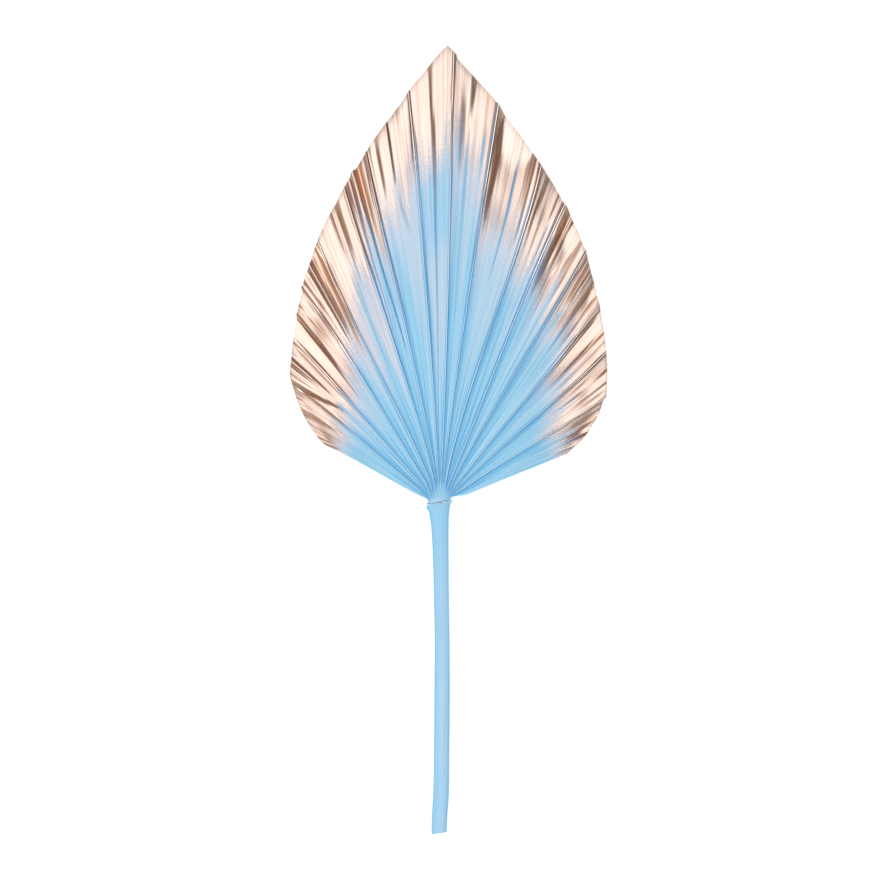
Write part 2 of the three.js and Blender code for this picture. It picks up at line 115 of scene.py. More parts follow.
FACETS = [Fold(*facet) for facet in [
    (-61.9, 0.5, -30, 0.85, 0.87, 1.2, 0.5), (-60.65, 0.4, -30, 0.87, 0.84),
    (-55.8, 1.7, 21, 0.8, 0.74, 1.2, 0.4, 0.3, 1), (-55.1, 0.45, 26, 0.86, 0.73, 1.2, 0, 1),
    (-55.1, 0.9, 31, 0.76, 0.77, 0.92), (-53, 0.8, -30, 0.93, 0.8, 1.2, 0.3),
    (-52.6, 0.8, -20, 0.83, 0.8, 0.95, 0, 0.5), (-50.85, 0.45, -34, 0.58, 0.7),
    (-48.6, 0.7, 25, 0.8, 0.68, 1.2, 1.4, 0.4), (-46.9, 0.4, -34, 0.87, 0.7, 1.2, 0.3, 0, -1),
    (-46.3, 0.6, -30, 0.84, 0.68, 1.2, 0.3), (-45.8, 0.5, 22, 0.84, 0.68, 1.2, 0.3, 1),
    (-45.3, 0.9, -31, 0.72, 0.68, 1.2, 0.3, 0.3), (-50.35, 1.2, 40, 0.64, 0.67, 1.2, 4.6, 0.1),
    (-45.4, 0.9, -18, 0.48, 0.95, 0.67, 0.4), (-44, 0.5, 12, 0.96, 1.2),
    (-42.35, 0.4, -33, 0.92, 0.8, 1.2, -0.3), (-42.75, 0.7, -20, 0.66, 0.64, 0.96, 0, 0.85),
    (-41.35, 0.22, 32, 0.89, 0.86), (-41.95, 0.22, 34, 0.82, 0.8, 0.92),
    (-41.55, 0.4, 19, 0.3, 0.72, 0.7, 0.3), (-37.55, 0.3, 31, 0.8, 0.69),
    (-37.15, 0.4, 24, 0.86, 0.69, 1.2, 0, 1), (-36.8, 0.3, 34, 0.8, 0.67), (-37.15, 1, 33, 0.7, 0.68, 0.86),
    (-35.25, 0.75, -32, 0.8, 0.72, 1.2, 0.4, 0.45), (-35.1, 0.6, 28, 0.96, 0.9),
    (-33.3, 0.5, -24, 0.84, 0.7, 0.97, 0, 0.2), (-32.45, 0.3, -34, 0.88, 0.86, 1.2, 0.35),
    (-32.4, 0.3, -32, 0.74, 0.78, 0.88, -0.35), (-32, 0.3, 38, 0.5, 0.72, 0.88, 0.45),
    (-31.25, 0.65, 30, 0.88, 0.84, 1.2, 0.2, 0.5), (-30.75, 0.4, 20, 0.76, 0.75, 0.92, 0, 0.6),
    (-29.15, 0.95, 38, 0.7, 0.76), (-27.95, 1, -35, 0.7, 0.74, 1.2, 0, 0.15),
    (-26.95, 0.7, -23, 0.86, 0.76, 1.2, 0, 1), (-27.2, 0.95, -30, 0.72, 0.76, 0.9),
    (-25.65, 0.65, 24, 0.66, 0.69, 1.2, -0.15, 0.8), (-25.4, 0.5, -34, 0.97, 0.9),
    (-24.8, 0.2, -36, 0.4, 0.8, 0.92), (-24.1, 0.3, 14, 0.78, 0.6, 0.92), (-23.2, 0.6, 8, 0.8, 0.6),
    (-20.6, 0.6, -28, 0.84, 0.84), (-20.8, 1.1, -22, 0.42, 0.78, 0.8),
    (-19, 0.95, 23, 0.84, 0.86, 1.2, 0, 0.6), (-19.3, 0.35, 18, 0.72, 0.86, 0.84),
    (-16.95, 0.9, -30, 0.7, 0.74, 1.2, 0.6, 0.2, 1), (-16.4, 0.35, -26, 0.3, 0.8, 0.78, 0.5),
    (-16, 0.2, -32, 0.88, 0.86), (-15.75, 0.2, -24, 0.88, 0.92), (-15.25, 0.6, 36, 0.88, 0.87, 1.2, -0.1),
    (-15.5, 0.35, 30, 0.5, 0.9, 0.88, -0.2), (-14.65, 0.2, -30, 0.84, 0.86, 1.2, 0.2),
    (-14.2, 0.45, -48, 0.47, 0.87, 1.2, 0.8), (-13.75, 0.6, -27, 0.82, 0.83, 1.2, 0, 0.7),
    (-13.25, 0.6, 22, 0.82, 0.82, 1.2, 0, 1), (-12.35, 0.25, 26, 0.88, 0.8, 1.2, 0, 0.3),
    (-11.8, 0.35, -36, 0.5, 0.87, 1.2, 0.8), (-11.35, 0.25, 20, 0.93, 0.8),
    (-10, 0.55, 30, 0.84, 0.83, 0.99, 0.1), (-8.65, 0.8, 8, 0.4, 0.78, 0.78),
    (-7.9, 0.45, -31, 0.82, 0.83, 1.2, 0, 0, -1), (-7.8, 0.45, 25, 0.69, 0.83, 0.82, 1.4),
    (-6.2, 0.5, 16, 0.97, 0.9), (-4.4, 0.2, 32, 0.84, 0.84, 1.2, -0.35),
    (-4.25, 0.25, -33, 0.88, 0.88, 1.2, 0.25), (-3.95, 0.3, -34, 0.3, 0.88, 0.88, 0.45),
    (-1.4, 0.35, 37, 0.84, 0.83, 1.2, 0.1), (-1.15, 0.55, 27, 0.25, 0.82, 0.88, 0.2),
    (-0.9, 0.15, 30, 0.66, 0.7, 0.84), (1.6, 0.13, -30, 0.84, 0.8, 1.2, -0.3),
    (1.95, 0.13, 28, 0.86, 0.8, 1.2, -0.1), (1.78, 0.15, 30, 0.72, 0.83, 0.88),
    (1.9, 0.35, 24, 0.25, 0.8, 0.78, 0.5), (3.35, 0.75, 18, 0.86, 0.87, 0.93),
    (3.2, 0.8, 20, 0.76, 0.88, 0.88), (4.7, 0.55, 32, 0.89, 0.86, 1.2, -0.2),
    (4.5, 0.2, -30, 0.82, 0.85, 0.9), (4.45, 0.65, -14, 0.4, 0.86, 0.84),
    (6.9, 0.9, -10, 0.92, 0.88, 1.2, 0, 0.3), (7, 0.6, -16, 0.8, 0.9, 0.92),
    (8.05, 0.28, -27, 0.3, 0.965, 1.2, -0.2), (8.45, 0.18, 38, 0.45, 0.72, 0.96, -0.5),
    (9.2, 1.3, 45, 0.88, 0.7), (9.5, 0.75, 37, 0.76, 0.72, 0.95, -0.45, 0.35),
    (9.25, 0.45, 40, 0.74, 0.73, 0.85, -0.1), (10.1, 0.4, 18, 0.82, 0.74, 0.95),
    (12.9, 0.4, 30, 0.92, 0.93), (12.8, 0.4, -24, 0.6, 0.95, 0.93, -0.2),
    (14.8, 1.6, -28, 0.8, 0.78, 1.2, 0.3, 0, 1), (15.35, 0.6, -28, 0.76, 0.82, 0.9, 0.1),
    (16.2, 0.25, -28, 0.93, 0.9, 1.2, 0.1), (16.3, 0.3, -26, 0.25, 0.94, 0.93, -0.3),
    (16.95, 0.25, 38, 0.45, 0.74, 1.2, -0.5), (18.3, 0.8, 34, 0.87, 0.84, 1.2, -0.6, 0, -1),
    (17.7, 0.4, 20, 0.8, 0.8, 0.88), (19.4, 0.6, 11, 0.8, 0.75, 0.92), (20.95, 0.5, -34, 0.9, 0.85),
    (21, 0.3, 18, 0.78, 0.9, 0.9), (22, 0.7, -30, 0.93, 0.93, 1.2, 0, 0, 1),
    (22.25, 0.4, -30, 0.25, 0.94, 0.94, -0.35), (23.05, 0.25, -26, 0.7, 0.95, 0.92, -0.5),
    (23.4, 0.5, 42, 0.88, 0.8, 1.2, 0, 0, -1), (23.8, 0.9, 36, 0.82, 0.8, 0.97, 0, 0.3),
    (24.55, 0.3, -36, 0.84, 0.78), (23.7, 1.3, 26, 0.74, 0.8, 0.84),
    (25.1, 0.5, 18, 0.84, 0.78, 1.2, 0, 0.2), (25.9, 0.6, 12, 0.8, 0.77),
    (26.1, 0.35, -32, 0.66, 0.8, 0.84), (27.75, 1.3, -22, 0.84, 0.8, 1.2, 0, 0.2),
    (28, 1, -24, 0.75, 0.83, 0.88), (29.85, 0.4, -28, 0.25, 0.95), (30.6, 0.25, 26, 0.93, 0.9, 1.2, 0, 0.5),
    (30.4, 0.2, 30, 0.82, 0.9, 0.92), (31.45, 0.5, -38, 0.79, 0.78, 1.2, 0, 0, -1),
    (31.95, 0.75, -34, 0.8, 0.79, 1.2, 0, 0.5), (32.4, 0.35, 36, 0.86, 0.77, 1.2, 0, 0, 1),
    (31.9, 1, -24, 0.72, 0.8, 0.84), (33.4, 0.4, 14, 0.92, 0.8, 1.2, 0, 0.2),
    (34.85, 0.75, 21, 0.9, 0.88, 1.2, 0, 0.7), (34.75, 0.9, 17, 0.7, 0.86, 0.9),
    (36.9, 1.5, -24, 0.88, 0.86, 1.2, 0, 0.3, -1), (36.8, 0.9, -24, 0.76, 0.84, 0.88),
    (38.4, 0.35, -22, 0.25, 0.9, 0.87), (39.4, 0.3, 35, 0.88, 0.86, 1.2, -0.15, 0, 1),
    (39.15, 0.45, 30, 0.25, 0.84, 0.88, -0.1), (42.1, 0.5, 24, 0.77, 0.8, 0.87),
    (43.4, 0.75, -21, 0.9, 0.84, 1.2, 0, 0.6), (43.2, 0.8, -20, 0.66, 0.8, 0.9),
    (45.2, 0.9, 18, 0.88, 0.82, 1.2, 0, 0.4), (45, 1, 18, 0.7, 0.8, 0.9), (47, 0.4, -32, 0.88, 0.85, 0.98),
    (47.3, 0.3, -24, 0.3, 0.8, 0.86), (47.85, 0.4, 30, 0.88, 0.72, 1.2, 0, 0.1),
    (48.05, 0.3, 27, 0.5, 0.74, 0.9, 0.15), (49.25, 0.7, 19, 0.78, 0.77, 0.88),
    (50.85, 0.85, -26, 0.92, 0.84, 1.2, 0, 0.6), (51, 0.9, -17, 0.7, 0.78, 0.85),
    (52.2, 0.6, 19, 0.7, 0.75, 0.9), (53.4, 0.65, 22, 0.79, 0.76, 1.2, 0, 0.1),
    (55, 0.5, -18, 0.85, 0.8, 0.97), (56.3, 0.3, 16, 0.88, 0.8, 1.2, 0, 0.3),
    (57.1, 0.45, 34, 0.88, 0.8, 1.2, 0, 0.2), (56.7, 0.35, 28, 0.76, 0.78, 0.88),
    (57.7, 0.4, -18, 0.74, 0.78, 0.88), (58.8, 0.4, 20, 0.85, 0.84, 0.98),
    (60.4, 0.8, -16, 0.86, 0.84, 1.2, 0, 0.4), (61.4, 0.45, 20, 0.88, 0.86, 1.2, 0, 0.2),
    (60.9, 1.2, -8, 0.76, 0.84, 0.88), (63.8, 1.4, -26, 0.84, 0.92), (65.9, 0.6, 22, 0.85, 0.94),
    (67.1, 0.6, -26, 0.6, 0.96)]]

# The facets' ends, taper, swing, soft or sharp sides, and wandering lines.
FACET_ENDS = (0.065, 0.04)
FACET_TAPER = 0.72
FACET_SPREAD = 1.1
FACET_GAIN = 1.12
SWING_CURVE = 1.7
SHARP_SIDE = 0.1
SOFT_SIDE = 0.28
EDGE_GAIN = 0.9
EDGE_LOSS = 0.3
WANDER = 0.06
WANDER_LENGTH = 0.08

# Fine folds: spacing in degrees, length in shares of the radius, and slope. Steep facets show them more.
FINE_FOLDS = [(0.36, 0.35, 0.18), (0.8, 0.3, 0.19), (1.9, 0.4, 0.11)]
FINE_AT_HUB = 0.5
FINE_GROWTH = (0.1, 0.8)
FINE_ON_STEEP = 1.1
FINE_STEEP_SLOPES = (0.1, 0.4)

# How strongly the fine folds show: bearing and strength.
FINE_SHOW = [
    (-62, 0.8), (-57, 0.5), (-50, 0.9), (-45, 0.9), (-40, 0.45), (-34, 0.6), (-26, 0.8), (-23, 0.35),
    (-18, 0.4), (-15, 0.9), (-12, 0.8), (-9, 0.4), (-5, 0.3), (1, 0.2), (5, 0.4), (9, 0.6), (11, 0.35),
    (16, 0.8), (19, 0.4), (23, 0.9), (31, 0.8), (38, 0.7), (42, 0.45), (50, 0.7), (56, 0.7), (59, 0.45),
    (68, 0.55)]

# How orange the copper glows between the facets, a painted reflection of copper on copper: bearing and
# strength.
GLOW_BETWEEN_FACETS = [(-62, 0.13), (-35, 0.1), (-5, 0), (68, 0)]

# Small steps of the cut rim, where the folds spring: bearing and millimetres.
RIM_STEPS = [
    (-62.3, -1), (-61.5, 1.2), (-58, 0), (-54.8, -0.4), (-51, 0.6), (-49, 1.3), (-47.5, 0), (-46, -1),
    (-43.5, -0.9), (-37.6, -0.6), (-37, 0.3), (-32.7, -1.1), (-32.5, 1.4), (-31, 0.7), (-28, 0.1),
    (-25, 1.2), (-21, 0.8), (-18.5, 0.1), (-15.3, 0.6), (-15, 1.4), (-14.5, 1), (-14.2, -0.2),
    (-12.3, -0.3), (-11.8, 0.4), (-9.3, 0.6), (-5, 0), (-4.7, 0.8), (-3.5, 1.1), (-2.2, 0.2), (-1.5, 0.8),
    (0.94, 1), (2.12, 1.8), (2.22, -0.2), (8.4, -0.1), (9.7, -1.8), (11.5, -1.1), (14, -0.5), (16.5, 0.5),
    (20, 1.1), (21.5, 0.1), (22.6, 0.1), (22.9, 1.1), (25, 0), (29.2, 0), (29.6, 0.6), (32.3, -0.6),
    (38.5, 0.5), (45, -0.4), (49.5, -0.1), (53.5, -1), (56.8, 0.3), (57.5, -1.6), (60.5, 0), (64.2, 2),
    (67.4, 0.6), (68, 0)]

# The dome's heights, and the two panels that lie flat on the surface.
HUB_HEIGHT = 7
TIP_HEIGHT = 5.6
SIDE_HEIGHT = 4
SIDE_BEARING = 70
DOME_RISE = 5.4
REST_PANELS = [(-40.9, -37.9), (39.9, 42.5)]
REST_GROWTH = (0.46, 0.97)
REST_BLEND_DEGREES = 0.25
LOWERED_RIBS = {-62.3: 0.5, -50.8: 1.8, -42.2: 3.3, -32.4: 2.1, -24.8: 0.9,
                22.5: 0.7, 30: 1.8, 38.8: 3.3, 47.4: 2.1, 56.9: 1, 68: 0.3}

# Where copper gives way to blue: bearing and share of the radius.
FADE = [
    (-62, 0.85), (-58, 0.77), (-56, 0.7), (-54, 0.69), (-52.2, 0.77), (-51, 0.66), (-48, 0.63), (-44, 0.62),
    (-40, 0.63), (-35, 0.64), (-32.5, 0.68), (-30, 0.65), (-28, 0.71), (-26.2, 0.625), (-24, 0.7),
    (-22, 0.72), (-20, 0.78), (-18, 0.76), (-16.5, 0.72), (-15, 0.79), (-12.7, 0.74), (-10, 0.79),
    (-7, 0.77), (-4.5, 0.82), (-2.5, 0.78), (0, 0.78), (2.4, 0.79), (6, 0.79), (8.3, 0.74), (10, 0.71),
    (12.5, 0.73), (14, 0.75), (17, 0.74), (19, 0.71), (21.5, 0.745), (24, 0.765), (26.5, 0.735), (28, 0.79),
    (29.3, 0.735), (31, 0.75), (33, 0.745), (35, 0.8), (37, 0.77), (40, 0.69), (42.5, 0.69), (45, 0.72),
    (48.5, 0.68), (52, 0.69), (55, 0.67), (58, 0.67), (60.5, 0.76), (62.5, 0.8), (65, 0.84), (68, 0.92)]

# How far in the pale copper mist settled: bearing and share of the radius.
MIST = [
    (-62, 0.7), (-52, 0.62), (-50, 0.55), (-47, 0.34), (-44, 0.5), (-43, 0.32), (-41, 0.52), (-37, 0.36),
    (-33, 0.38), (-31.5, 0.62), (-28, 0.42), (-26.5, 0.4), (-25, 0.5), (-23, 0.34), (-20.8, 0.58),
    (-18.5, 0.28), (-16.5, 0.5), (-15, 0.5), (-13.6, 0.8), (-12.6, 0.45), (-11, 0.5), (-9, 0.66), (-8, 0.5),
    (-5.8, 0.32), (-4, 0.6), (-2.5, 0.3), (0, 0.26), (1.6, 0.34), (3.3, 0.62), (4.9, 0.38), (7, 0.58),
    (9.5, 0.5), (13, 0.3), (15, 0.34), (17, 0.6), (19, 0.64), (20.6, 0.4), (22, 0.55), (23, 0.48),
    (25, 0.66), (27, 0.4), (30, 0.5), (31, 0.56), (33, 0.5), (35.5, 0.56), (38, 0.34), (40, 0.6),
    (43, 0.32), (46, 0.5), (50, 0.62), (54, 0.5), (57, 0.6), (62, 0.76), (68, 0.84)]

# How strong that mist is: bearing and strength.
MIST_STRENGTH = [(-62, 0.35), (-50, 0.55), (-33, 0.58), (-26, 0.8), (-24, 1), (-17, 1.25), (-13, 0.45),
                 (-5, 0.6), (1.3, 0.65), (3, 0.42), (20, 0.4), (24, 0.2), (42, 0.22), (68, 0.35)]

# Between these bearings and shares the centre panels are nearly clear of mist.
CLEAR_BEARINGS = (-4.4, -3.4, 1.2, 1.8)
CLEAR_SHARES = (0.54, 0.62, 0.74, 0.8)
CLEARED = 0.75

# Streaks at the edge of the paint: spacing in degrees, and reach in shares of the radius.
STREAKS = [(0.9, 0.035), (0.25, 0.03)]
STREAK_LENGTH = 0.3

# Shares beyond the fade where copper starts, sooner on steep slopes, and where it is full.
COPPER_START = -0.08
COPPER_FULL = 0.09
COPPER_SOONER = 0.05

# The mist's soft edges, the slopes that catch it, and its loss on steep ones.
MIST_EDGE = (0.07, 0.2)
MIST_AT_COPPER = (-0.13, 0.03)
MIST_SLOPES = (-0.4, 0.05)
MIST_LOSS = 0.7
# Slopes where facets count as steep: they catch copper sooner, lose mist, and take a painted shade of
# greyish dark blue.
SLATE_SLOPES = (0.1, 0.65)

# Painted shade of darker blue beside ribs and in valleys, in millimetres and shares of the radius.
FAR_FROM_RIB = 9.0
RIB_SIDE_WIDTH = 0.1
SHADE_START = (0.3, 0.9)
SHADE_END = (1.6, 1.7)
SHADE_WIDTH = 5.0
SHADE_DEPTH = 0.8
SHADE_SHARES = (0.5, 0.85)
VALLEY_WIDTH = (0.15, 0.7)
VALLEY_SHARES = (0.25, 0.5)


def smooth(x, low, high):
    """Smooth step from 0 at low to 1 at high."""
    t = np.clip((np.asarray(x, float) - low) / (high - low), 0, 1)
    return t * t * (3 - 2 * t)


def mix(a, b, share):
    """The value a where share is 0, and b where it is 1."""
    return a + (b - a) * share


def window(x, rise, full, fall, end):
    """1 between full and fall, and 0 outside rise and end."""
    return smooth(x, rise, full) * (1 - smooth(x, fall, end))


def along_lines(points, x, column=1):
    """Value at x of the straight lines through points."""
    table = np.array([(p[0], p[column]) for p in points], float)
    return np.interp(x, table[:, 0], table[:, 1])


def along_curve(points, x):
    """Value at x of the smooth curve through points."""
    table = np.array(points, float)
    xs, ys = table.T
    slopes = np.empty(len(xs))
    slopes[1:-1] = (ys[2:] - ys[:-2]) / (xs[2:] - xs[:-2])
    slopes[0] = (ys[1] - ys[0]) / (xs[1] - xs[0])
    slopes[-1] = (ys[-1] - ys[-2]) / (xs[-1] - xs[-2])
    i = np.clip(np.searchsorted(xs, x, side="right") - 1, 0, len(xs) - 2)
    span = xs[i + 1] - xs[i]
    t = np.clip((x - xs[i]) / span, 0, 1)
    s = 1 - t
    return (ys[i] * s * s * (1 + 2 * t) + slopes[i] * span * t * s * s
            + ys[i + 1] * t * t * (1 + 2 * s) - slopes[i + 1] * span * t * t * s)


def cells(x, spacing):
    """The cell that each place is in, and the smoothed way across it."""
    x = np.asarray(x, float) / spacing
    i = np.floor(x).astype(int)
    t = x - i
    return i, t * t * (3 - 2 * t)


def ripple(x, spacing, seed):
    """Seeded smooth noise along one line, from -1 to 1, with one draw every spacing."""
    draws = np.random.default_rng(seed).uniform(-1, 1, 4096)
    i, t = cells(x, spacing)
    return mix(draws[i % 4096], draws[(i + 1) % 4096], t)


def ripple2(x, y, spacing_x, spacing_y, seed):
    """The same over two directions."""
    j, t = cells(y, spacing_y)
    i, s = cells(x, spacing_x)
    draws = np.random.default_rng(seed).uniform(-1, 1, (1024, 512))
    low = mix(draws[i % 1024, j % 512], draws[(i + 1) % 1024, j % 512], s)
    high = mix(draws[i % 1024, (j + 1) % 512], draws[(i + 1) % 1024, (j + 1) % 512], s)
    return mix(low, high, t)


# Form of the blade

def rim_radius(bearing):
    """Radius of the smooth outline."""
    return np.where(bearing < TIP_BEARING, along_curve(LEFT_RIM, bearing), along_curve(RIGHT_RIM, bearing))


FOLDS = sorted([LEFT_EDGE, *RIBS, CENTRE_FOLD, RIGHT_EDGE])


def bearing_at(rim_bearing, share):
    """Where a line that meets the rim at one bearing runs further in."""
    middle = along_lines(FOLDS, rim_bearing, 1)
    inner = along_lines(FOLDS, rim_bearing, 2)
    f = np.maximum(share, INNERMOST_SHARE)
    m, i = MIDDLE_SHARE, INNER_SHARE
    at_rim = (f - m) * (f - i) / ((1 - m) * (1 - i))
    at_middle = (f - 1) * (f - i) / ((m - 1) * (m - i))
    at_inner = (f - 1) * (f - m) / ((i - 1) * (i - m))
    return rim_bearing * at_rim + middle * at_middle + inner * at_inner


CRESTS = [LEFT_EDGE[0], *(rib[0] for rib in RIBS), RIGHT_EDGE[0]]
PLEAT_LINE = sorted([(crest, 0) for crest in CRESTS]
                    + [(valley, (CRESTS[i] - CRESTS[i + 1]) / 2) for i, valley in enumerate(VALLEYS)])
BORDERS = [border for panel in REST_PANELS for border in panel]
ANCHORS = sorted(CRESTS + BORDERS)


def pleat_height(bearing, radius, share):
    """Height of the large pleats."""
    gain = 1 + HUB_PLEAT_GAIN * (1 - smooth(share, *HUB_PLEAT_SHARES))
    gain = gain - RIM_PLEAT_LOSS * smooth(share, *RIM_PLEAT_SHARES)
    depth = np.radians(along_lines(PLEAT_LINE, bearing)) * math.tan(math.radians(PLEAT_SLOPE))
    return depth * radius * gain


def rib_height(bearing, radius):
    """Thin cords with a rounded crest and a shallow groove on each side."""
    half_width = np.minimum(np.degrees(RIB_HALF_WIDTH / radius), RIB_WIDEST)
    height = np.zeros(bearing.shape)
    for rib in RIBS:
        off = np.abs(bearing - rib[0]) / half_width
        cord = 1 - smooth(off, RIB_CREST, 1)
        groove = GROOVE_DEPTH * np.exp(-((off - GROOVE_PLACE) / GROOVE_WIDTH) ** 2)
        height += (cord - groove) * RIB_HEIGHT
    return height * smooth(radius, *RIB_FADE)


def facet_windows(bearing, share):
    """Each facet with its part in every spot, from 0 to 1, and the place across it, from -0.5 to 0.5."""
    end, start = FACET_ENDS
    for index, fold in enumerate(FACETS):
        outer = min(fold.outer, 1)
        inward = np.clip((outer - share) / (outer - fold.inner), 0, 1)
        wander = WANDER * ripple(share, WANDER_LENGTH, SEED + index)
        line = fold.bearing + fold.swing * inward ** SWING_CURVE + wander
        spread = fold.width * FACET_SPREAD * mix(1, FACET_TAPER, inward)
        left = SHARP_SIDE if fold.edge < 0 else SOFT_SIDE
        right = SHARP_SIDE if fold.edge > 0 else SOFT_SIDE
        t = (bearing - line) / spread
        across = window(t, -0.5 - left, -0.5 + left, 0.5 - right, 0.5 + right)
        along = window(share, fold.inner - end, fold.inner + end, fold.outer - start, fold.outer + start)
        yield fold, across * along, np.clip(t, -0.5, 0.5)


def folded_slopes(bearing, share):
    """Slope across the fan, rising to the right, the share where it turns blue, and the copper's orange
    glow, a painted reflection.
    """
    side = np.sign(bearing - TIP_BEARING)
    slope = np.zeros(bearing.shape)
    fade = along_lines(FADE, bearing)
    reflected_glow = along_lines(GLOW_BETWEEN_FACETS, bearing)
    for fold, part, place in facet_windows(bearing, share):
        steeper = 1 + EDGE_GAIN * fold.edge * place
        tilt = fold.tilt * FACET_GAIN * steeper / (1 + EDGE_LOSS * abs(fold.edge))
        slope = mix(slope, -side * np.tan(np.radians(tilt)), part)
        fade = mix(fade, fold.turn, part)
        # painted reflection of copper on copper
        reflected_glow = np.maximum(reflected_glow, fold.reflected_glow * part)
    show = along_lines(FINE_SHOW, bearing) * mix(FINE_AT_HUB, 1, smooth(share, *FINE_GROWTH))
    show = np.maximum(show, FINE_ON_STEEP * smooth(np.abs(slope), *FINE_STEEP_SLOPES))
    for index, (spacing, length, strength) in enumerate(FINE_FOLDS):
        slope += strength * show * ripple2(bearing, share, spacing, length, FINE_SEED + index)
    return slope, fade, reflected_glow


def climbed(x, y, slope):
    """Height that the slope adds up to along each row, from the left edge."""
    step = np.hypot(np.diff(x, axis=1), np.diff(y, axis=1))
    rise = np.cumsum(step * (slope[:, 1:] + slope[:, :-1]) / 2, axis=1)
    return np.concatenate([np.zeros((len(x), 1)), rise], axis=1)


def settled(height, bearing):
    """Height with its drift taken off, so that it is nothing at each rib and edge."""
    across = bearing[0]
    drift = [np.interp(across, ANCHORS, np.interp(ANCHORS, across, row)) for row in height]
    return height - np.array(drift)


def dome_height(bearing, share):
    """Height of the domed sheet without its folds."""
    side = np.cos(np.radians(90 * bearing / SIDE_BEARING)) ** 2
    arch = 4 * DOME_RISE * (rim_radius(bearing) / TIP_RADIUS) * share * (1 - share)
    return HUB_HEIGHT * (1 - share) + mix(SIDE_HEIGHT, TIP_HEIGHT, side) * share + arch


def rest_drop(bearing, share):
    """How far the sheet comes down from the dome towards the panels that lie flat."""
    down = {border: float(dome_height(np.array(border), np.array(1.0))) - SHEET for border in BORDERS}
    drops = [down.get(anchor, LOWERED_RIBS.get(anchor, 0)) for anchor in ANCHORS]
    return np.interp(bearing, ANCHORS, drops) * smooth(share, *REST_GROWTH)


def rest_share(bearing, share):
    """How far each spot belongs to a panel that lies flat, from 0 to 1."""
    rest = np.zeros(bearing.shape)
    for first, last in REST_PANELS:
        outside = np.maximum(np.maximum(first - bearing, bearing - last), 0)
        rest = np.maximum(rest, 1 - smooth(outside, 0, REST_BLEND_DEGREES))
    return rest * smooth(share, *REST_GROWTH)


# The hub: rows that turn from the neck's straight foot into the fan.
HUB_START = 3
HUB_END = 18
FOOT_ALONG = 1.25
FOOT_TILT = 0.12
FOOT_CENTRE = -0.3
FOOT_HALF_WIDTH = 7.1
FOOT_MIDDLE = 4.35
FOOT_HALF_DEPTH = 3.05
FOOT_FULLNESS = 0.4
NECK_LENGTH = 3.1
NECK_BLEND = 0.85

# The grid: rows, columns in degrees, and the rim's rounding and wear in millimetres.
NECK_ROWS = 7
HUB_ROWS = 14
FAN_ROWS = 46
ROW_CROWDING = 0.9
UNDERSIDE_STEP = 4
COLUMN_STEP = 0.135
LEAST_COLUMN_GAP = 0.04
RIB_COLUMN_STEP = 0.07
RIB_COLUMN_REACH = 0.35
RIM_ROUNDING = (0.25, 0.06)
WORN = [(0.7, 0.15), (0.25, 0.1)]

# The smooth plate over the hub, a triangle that points up the fan.
PLATE_CENTRE = 0.5
PLATE_HALF_WIDTH = 6.6
PLATE_FOOT = 4
PLATE_PEAK = 18
PLATE_EDGE = (-2, 3)
PLATE_START = (1, 2)
PLATE_END = (13, 19)
PLATE_FLATTENING = 0.7
PLATE_RISE = 0.35
PLATE_PAINT_RADII = (8, 12)

# How far the lower edges move up beside the neck: bearing and millimetres.
EDGE_LIFT = [(-62.3, 0.9), (-40, 0), (20, 0), (68, 2.2)]
EDGE_LIFT_RADII = (3, 8, 9, 19)

# The keel under the hub: place along the leaf, half width and depth.
KEEL = [(1.2, 7.1, 5.5), (5.2, 6.5, 5.3), (9, 5.3, 5), (13, 3.9, 4.6), (17.5, 2.7, 4), (25, 1.9, 2.9),
        (34, 1.3, 1.5), (43, 0.7, 0)]
KEEL_FADE = (38, 43)

# Further in than this share the underside keeps clear of the surface.
CLEAR_SHARE = 0.6
CLEARANCE = 1.1
LEAST_THICKNESS = 0.5
REST_FOLDS = 0.25

# Tangents of the tilt where copper starts to darken and is darkest, a painted shade on facets tilted away
# from the light.
STEEP_TILTS = (0.06, 0.8)
REACH_MOST = 1.2
GRAIN_ALONG = 0.05


def columns():
    """Bearings of the grid's columns, closest on the ribs. Their number is odd."""
    even = np.arange(LEFT_EDGE[0], RIGHT_EDGE[0], COLUMN_STEP)
    beside = np.arange(-RIB_COLUMN_REACH, RIB_COLUMN_REACH + RIB_COLUMN_STEP / 2, RIB_COLUMN_STEP)
    near = np.concatenate([rib[0] + beside for rib in RIBS])
    far = [b for b in even if np.abs(near - b).min() > 0.5 * COLUMN_STEP]
    merged = np.sort(np.concatenate([far, near, [TIP_BEARING, RIGHT_EDGE[0]]]))
    merged = merged[np.concatenate([[True], np.diff(merged) > LEAST_COLUMN_GAP])]
    if len(merged) % 2 == 0:
        merged = np.delete(merged, 1)
    return merged


def foot_line(bearing):
    """X of a column at the foot of the neck."""
    turned = mix(-90, 90, (bearing - LEFT_EDGE[0]) / (RIGHT_EDGE[0] - LEFT_EDGE[0]))
    return FOOT_CENTRE + FOOT_HALF_WIDTH * np.sin(np.radians(turned))


def neck_height(x, widest=1):
    """Height of the neck's rounded upper side."""
    aside = np.clip((x - FOOT_CENTRE) / FOOT_HALF_WIDTH, -widest, widest)
    return FOOT_MIDDLE + FOOT_HALF_DEPTH * (1 - aside ** 2) ** FOOT_FULLNESS


def cut_radius(bearing):
    """Radius of the rim as it was cut: almost smooth, with small steps where the folds spring."""
    worn = sum(depth * ripple(bearing, spacing, WORN_SEED + index)
               for index, (spacing, depth) in enumerate(WORN))
    return rim_radius(bearing) + along_lines(RIM_STEPS, bearing) + worn


def fan_rows(rim):
    """Radius of every spot of the grid, from the hub to the rim."""
    hub = np.linspace(HUB_START, HUB_END, NECK_ROWS + HUB_ROWS)[:, None] * np.ones_like(rim)
    outward = np.linspace(0, 1, FAN_ROWS)[1:, None] ** ROW_CROWDING
    return np.concatenate([hub, mix(HUB_END, rim - RIM_ROUNDING[0], outward), rim])


